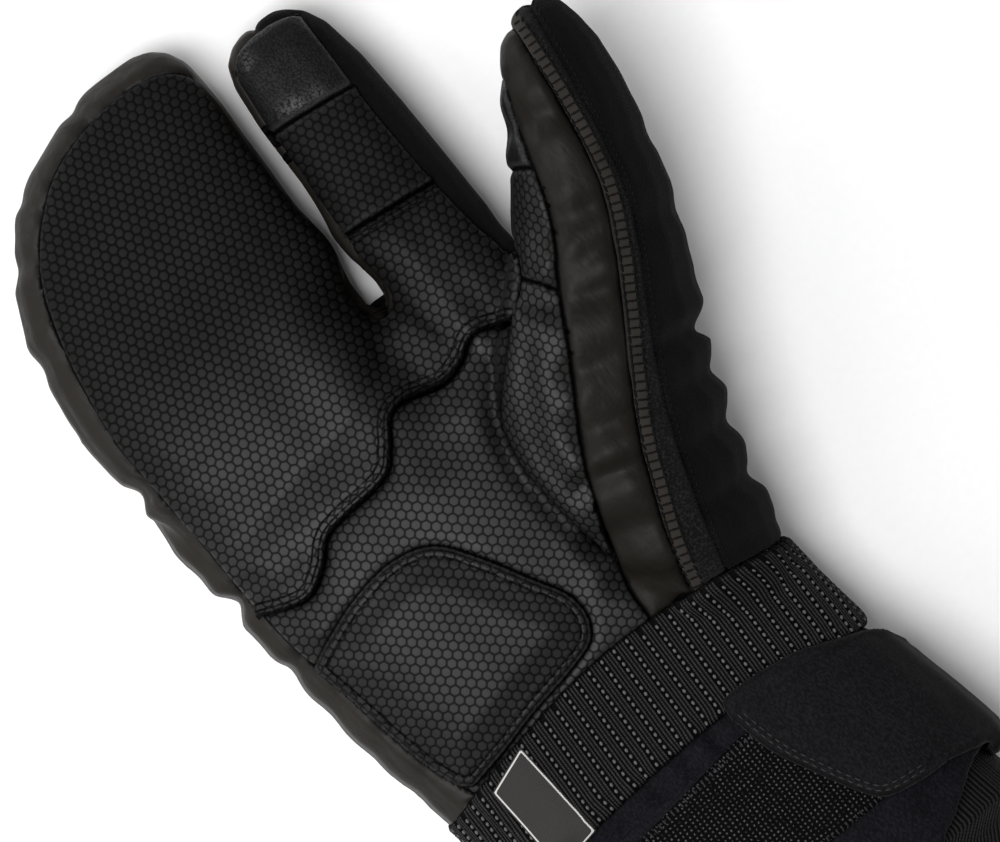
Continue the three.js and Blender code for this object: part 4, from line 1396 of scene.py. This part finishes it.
def laminate(name, shade):
    """Dark taupe cloth with a smooth face, faint creases and a satin sheen, painted darker at its edges as
    shade in the seams.
    """
    finish = Finish(name, Specular_IOR_Level=0.16 * shade)
    streak = finish.noise(90, 4, stretch=(1, 0.35, 1))
    crinkle = finish.noise(420, 4)
    weave = finish.noise(5200, 2)
    speck = finish.noise(2600, 2)
    edge = finish.attribute("from_edge")
    # the shade paints this copy of the laminate darker as shade
    base = finish.blend(streak * 0.6 + speck * 0.4, shaded(TAUPE_DARK, shade), shaded(TAUPE_PALE, shade))
    # painted shade towards each seam
    sewn = finish.blend(edge.rising(0.0, 1.3), TAUPE_SEAM_SHADE, base)
    finish.paint(Base_Color=sewn, Roughness=0.50 + (crinkle - 0.5) * 0.16)
    finish.raise_by(crinkle * 0.15 + weave * 0.02 + streak * 1.1)
    return finish.material


# %% The knit of the back and the fleece strip
KNIT_PITCH = 0.85


def knit():
    """Matt black cloth of fine knitted loops."""
    finish = Finish("back knit", Specular_IOR_Level=0.03, Sheen_Weight=0.02, Sheen_Roughness=0.6)
    waves = finish.scaled(finish.coordinates, 2 * math.pi / (KNIT_PITCH * MM), math.radians(30))
    across, along, upward = (finish.part(waves, axis).sine() for axis in range(3))
    loops = across * along + upward * 0.25
    fuzz = finish.noise(2600, 4)
    broad = finish.noise(45, 3)
    uneven = broad * 0.5 + fuzz.rising(0.4, 0.65) * 0.5
    base = finish.blend(uneven, grey(0.0007, 0, 0.05), grey(0.0036, 0, 0.05))
    finish.paint(Base_Color=finish.blend(loops.rising(-0.9, 1.0) * 0.35, base, grey(0.0060, 0, 0.04)),
                 Roughness=0.86 + (fuzz - 0.5) * 0.16)
    finish.raise_by(loops * 0.06 + fuzz * 0.2)
    return finish.material


UNDER_LADDER = (0.019, 0.0165, 0.014, 1)


def fleece():
    """Black pile for wiping, with the taupe laminate showing through beside its ladder stitch."""
    finish = Finish("wipe fleece", Specular_IOR_Level=0.06, Sheen_Weight=0.03, Sheen_Roughness=0.7)
    pile = finish.noise(1500, 5)
    tuft = finish.noise(420, 3)
    hairy = finish.blend(pile.rising(0.45, 0.68), grey(0.0010), grey(0.010))
    under_ladder = finish.attribute("from_sewn_line").falling(LADDER_WIDTH - 0.3, LADDER_WIDTH + 0.3)
    finish.paint(Base_Color=finish.blend(under_ladder, hairy, UNDER_LADDER),
                 Roughness=0.92 + (tuft - 0.5) * 0.12)
    finish.raise_by((pile * 0.45 + tuft * 0.35) * (1 - under_ladder * 0.85))
    return finish.material


# %% The elastic, the hem and the thread
WEFT_PITCH = 0.62


def elastic(name, ribs_per_unit, dark, pale):
    """Woven elastic: fine weft threads across its ribs, painted near black as shade where a rib dips.

    With no ribs per unit of the UV map, the ribs are those that the mesh itself has.
    """
    finish = Finish(name, Specular_IOR_Level=0.06)
    weft = (finish.part(finish.uv(), 1) * wave(WEFT_PITCH)).sine()
    fuzz = finish.noise(3000, 3)
    shade = finish.noise(60, 2)
    lit = finish.blend(fuzz.rising(0.35, 0.7) * 0.6 + weft.rising(-1, 1) * 0.4, grey(dark), grey(pale))
    if ribs_per_unit:
        ribs = (finish.part(finish.uv(), 0) * (math.pi * ribs_per_unit)).sine()
    else:
        ribs = finish.attribute("rib")
    top = abs(ribs).rising(0.45, 0.95)
    # painted shade: much darker than the threads where a rib dips
    ribbed = finish.blend(top, grey(dark / 9), lit)
    # painted shade: near black along the elastic's edge, where it tucks under
    finish.paint(Base_Color=finish.blend(finish.attribute("from_edge").rising(0, 0.8), grey(0.002), ribbed),
                 Roughness=0.74 + (fuzz - 0.5) * 0.2)
    finish.raise_by(weft * 0.07 + top * 0.15 + fuzz * 0.12 + shade * 0.3)
    return finish.material


def thread(name, dark, pale, gloss=0.25):
    """Twisted sewing thread."""
    finish = Finish(name, Specular_IOR_Level=gloss)
    twist = finish.noise(3400, 3)
    finish.paint(Base_Color=finish.blend(twist, grey(dark), grey(pale)),
                 Roughness=0.72 - gloss * 0.8 + twist * 0.2)
    finish.raise_by(twist * 0.12)
    return finish.material


# %% The softshell, the loops and the label
def softshell(name, dark, pale, cool):
    """Blue-black stretch cloth with a heathered face, painted darker at its edges as shade."""
    finish = Finish(name, Specular_IOR_Level=0.06, Sheen_Weight=0.02, Sheen_Roughness=0.45)
    heather = finish.noise(1900, 4, stretch=(1, 0.45, 1))
    weave = finish.noise(5600, 2)
    broad = finish.noise(50, 3)
    base = finish.blend(heather.rising(0.35, 0.7), grey(dark, 0, cool), grey(pale, 0, cool))
    # painted shade towards the seams and edges
    sewn = finish.blend(finish.attribute("from_edge").rising(0, 1.2), grey(0.002, 0, cool), base)
    finish.paint(Base_Color=sewn, Roughness=0.78 + (heather - 0.5) * 0.2)
    finish.raise_by(heather * 0.07 + weave * 0.03 + broad * 0.8)
    return finish.material


LOOP_PITCH, LOOP_ROW_PITCH = 1.3, 1.15
LABEL_WEAVE, LABEL_BORDER = 0.5, (0.50, 0.49, 0.47, 1)


def loop_cloth():
    """The loop side of a touch fastener: fuzzy loops in fine rows."""
    finish = Finish("loop fabric", Specular_IOR_Level=0.05)
    loops = finish.noise(2100, 5)
    wander = finish.noise(260, 2)
    across = finish.part(finish.uv(), 0) + wander * 0.04
    along = finish.part(finish.uv(), 1) + wander * 0.06
    rows = (across * wave(LOOP_PITCH)).sine()
    dashes = (along * wave(LOOP_ROW_PITCH)).sine()
    knots = rows.rising(-0.2, 0.8) * dashes.rising(-0.4, 0.6)
    tips = knots * loops.rising(0.36, 0.62)
    finish.paint(Base_Color=finish.blend(tips, grey(0.0010, 0, 0.1), grey(0.080, 0, 0.08)),
                 Roughness=0.85 + (loops - 0.5) * 0.2)
    finish.raise_by(knots * 0.35 + loops * 0.4)
    return finish.material


def woven_label():
    """Dark grey weave with a pale woven border, and nothing on it."""
    finish = Finish("label weave", Specular_IOR_Level=0.15)
    weave = finish.scaled(finish.uv(), wave(LABEL_WEAVE))
    threads = finish.part(weave, 0).sine() * finish.part(weave, 1).sine()
    edge = finish.attribute("from_edge")
    border = edge.rising(0.35, 0.45) * edge.falling(0.75, 0.85)
    base = finish.blend(threads.rising(-1, 1), grey(0.018, 0.03), grey(0.034, 0.03))
    finish.paint(Base_Color=finish.blend(border, base, LABEL_BORDER), Roughness=0.7 + threads * 0.05)
    finish.raise_by(threads * 0.05)
    return finish.material


# %% Give every piece its finish
FINISHES = {
    "pebbled": pebbled(),
    # the wall and the thumb's strip are the same laminate, painted to different darkness as shade
    "wall": laminate("taupe laminate", 0.95),
    "strip": laminate("taupe laminate of the thumb", 0.66),
    "knit": knit(),
    "fleece": fleece(),
    "wrist": elastic("wrist elastic", 0, 0.007, 0.040),
    "hem": elastic("hem elastic", 11, 0.008, 0.026),
    "black thread": thread("black thread", 0.0012, 0.006, 0.08),
    "tab thread": thread("tab thread", 0.006, 0.022),
    "beads": thread("elastic's beads", 0.040, 0.125),
    "cuff": softshell("cuff softshell", 0.0024, 0.0072, 0.45),
    "tab": softshell("tab softshell", 0.0030, 0.0090, 0.15),
    "loops": loop_cloth(),
    "label": woven_label(),
}
DRESSED = [
    (PANELS["upper_palm"], mitt_leather, "palm_leather"),
    (PANELS["lower_palm"], palm_leather, "palm_leather"),
    (PANELS["index_palm"], index_leather, "palm_leather"),
    (heel_pad, pad_leather, "palm_leather"),
    (PANELS["thumb_gusset"], thumb_leather, "palm_leather"),
    (PANELS["thumb_mid_palm"], thumb_leather, "palm_leather"),
    (PANELS["index_tip_pad"], FINISHES["pebbled"], "pebbled_leather"),
    (PANELS["thumb_tip_pad"], FINISHES["pebbled"], "pebbled_leather"),
    (PANELS["thumb_side_strip"], FINISHES["strip"], "taupe_laminate"),
    (PANELS["outer_side_wall"], FINISHES["wall"], "taupe_laminate"),
    (PANELS["index_side_wall"], FINISHES["wall"], "taupe_laminate"),
    (PANELS["thumb_back"], FINISHES["knit"], "back_knit"),
    (PANELS["hand_back"], FINISHES["knit"], "back_knit"),
    (PANELS["thumb_wipe"], FINISHES["fleece"], "wipe_fleece"),
    (PANELS["cuff"], FINISHES["cuff"], "softshell"),
    (closure_tab, FINISHES["tab"], "softshell"),
    (loop_patch, FINISHES["loops"], "loop_fabric"),
    (wrist_band, FINISHES["wrist"], "wrist_elastic"),
    (band_beads, FINISHES["beads"], "wrist_elastic"),
    (hem_band, FINISHES["hem"], "hem_elastic"),
    (label, FINISHES["label"], "label_weave"),
    (palm_stitches, FINISHES["black thread"], "palm_leather"),
    (thumb_ladder, FINISHES["black thread"], "wipe_fleece"),
    (thumb_chain, FINISHES["black thread"], "wipe_fleece"),
    (tab_stitches, FINISHES["tab thread"], "softshell"),
    (patch_stitches, FINISHES["tab thread"], "loop_fabric"),
]
for piece, material, slot in DRESSED:
    piece.data.materials.clear()
    piece.data.materials.append(material)
bpy.data.objects.remove(skin)
triangles = sum(len(polygon.vertices) - 2 for piece, _, _ in DRESSED for polygon in piece.data.polygons)
print(len(DRESSED), "pieces,", triangles, "triangles")

# %% [markdown]
# ## Floor, lights and camera
# The photograph looks straight down on the glove, turned by about 37 degrees, against a white ground. A
# long lens a metre above keeps the sides as narrow as they are there. Black cloth shows its form only by
# its gloss, so three soft lights stand on the picture's left side: one high up for the palm, one that
# grazes the padding and the seams, and a weaker one at the lower left for the cuff. A pale world keeps the
# ground white.

# %% Floor
FLOOR_SIZE = 4
PAPER_DARK, PAPER_PALE = (0.86, 0.86, 0.86, 1), (0.90, 0.90, 0.90, 1)
floor_bm = bmesh.new()
bmesh.ops.create_grid(floor_bm, x_segments=2, y_segments=2, size=FLOOR_SIZE)
floor = new_object("floor", floor_bm)
paper = Finish("pale floor", Roughness=0.9)
fibre = paper.noise(400, 3)
paper.paint(Base_Color=paper.blend(fibre, PAPER_DARK, PAPER_PALE))
floor.data.materials.append(paper.material)


# %% Lights
VIEW_TURN = math.radians(-36.64)
LIT_POINT = Vector((0, 0, 0.02))
WORLD_STRENGTH = 0.36
LIGHTS = [
    # name, metres up and right in the picture, metres above the floor, size in metres, power in watts
    ("top", -0.18, -0.30, 1.2, 0.6, 14.0),
    ("grazing", 0.5, -1.2, 0.45, 0.5, 5.0),
    ("low", -0.6, -0.9, 0.8, 0.8, 4.5),
]
image_right = Vector((math.cos(VIEW_TURN), math.sin(VIEW_TURN), 0))
image_up = Vector((-math.sin(VIEW_TURN), math.cos(VIEW_TURN), 0))
for name, up, right, above, size, power in LIGHTS:
    data = bpy.data.lights.new(name, "AREA")
    data.shape, data.size, data.energy = "SQUARE", size, power
    lamp = bpy.data.objects.new(name, data)
    bpy.context.scene.collection.objects.link(lamp)
    lamp.location = image_up * up + image_right * right + Vector((0, 0, above))
    lamp.rotation_euler = (LIT_POINT - lamp.location).to_track_quat("-Z", "Y").to_euler()
print(len(LIGHTS), "lights")
bpy.context.scene.view_settings.view_transform = "Standard"
world = bpy.data.worlds.new("studio")
bpy.context.scene.world = world
world.use_nodes = True
world.node_tree.nodes["Background"].inputs["Color"].default_value = (1, 1, 1, 1)
world.node_tree.nodes["Background"].inputs["Strength"].default_value = WORLD_STRENGTH

# %% Camera
CAMERA_DISTANCE, PALM_PLANE, FRAME_WIDTH = 1.0, 0.036, 0.250
FRAME_MIDDLE = (6.4 * MM, 15.9 * MM)
SENSOR_WIDTH = 36
camera_data = bpy.data.cameras.new("camera")
camera = bpy.data.objects.new("camera", camera_data)
bpy.context.scene.collection.objects.link(camera)
camera_data.sensor_width = SENSOR_WIDTH
camera_data.lens = SENSOR_WIDTH * CAMERA_DISTANCE / FRAME_WIDTH
camera.location = (*FRAME_MIDDLE, PALM_PLANE + CAMERA_DISTANCE)
camera.rotation_euler = (0, 0, VIEW_TURN)
bpy.context.scene.camera = camera
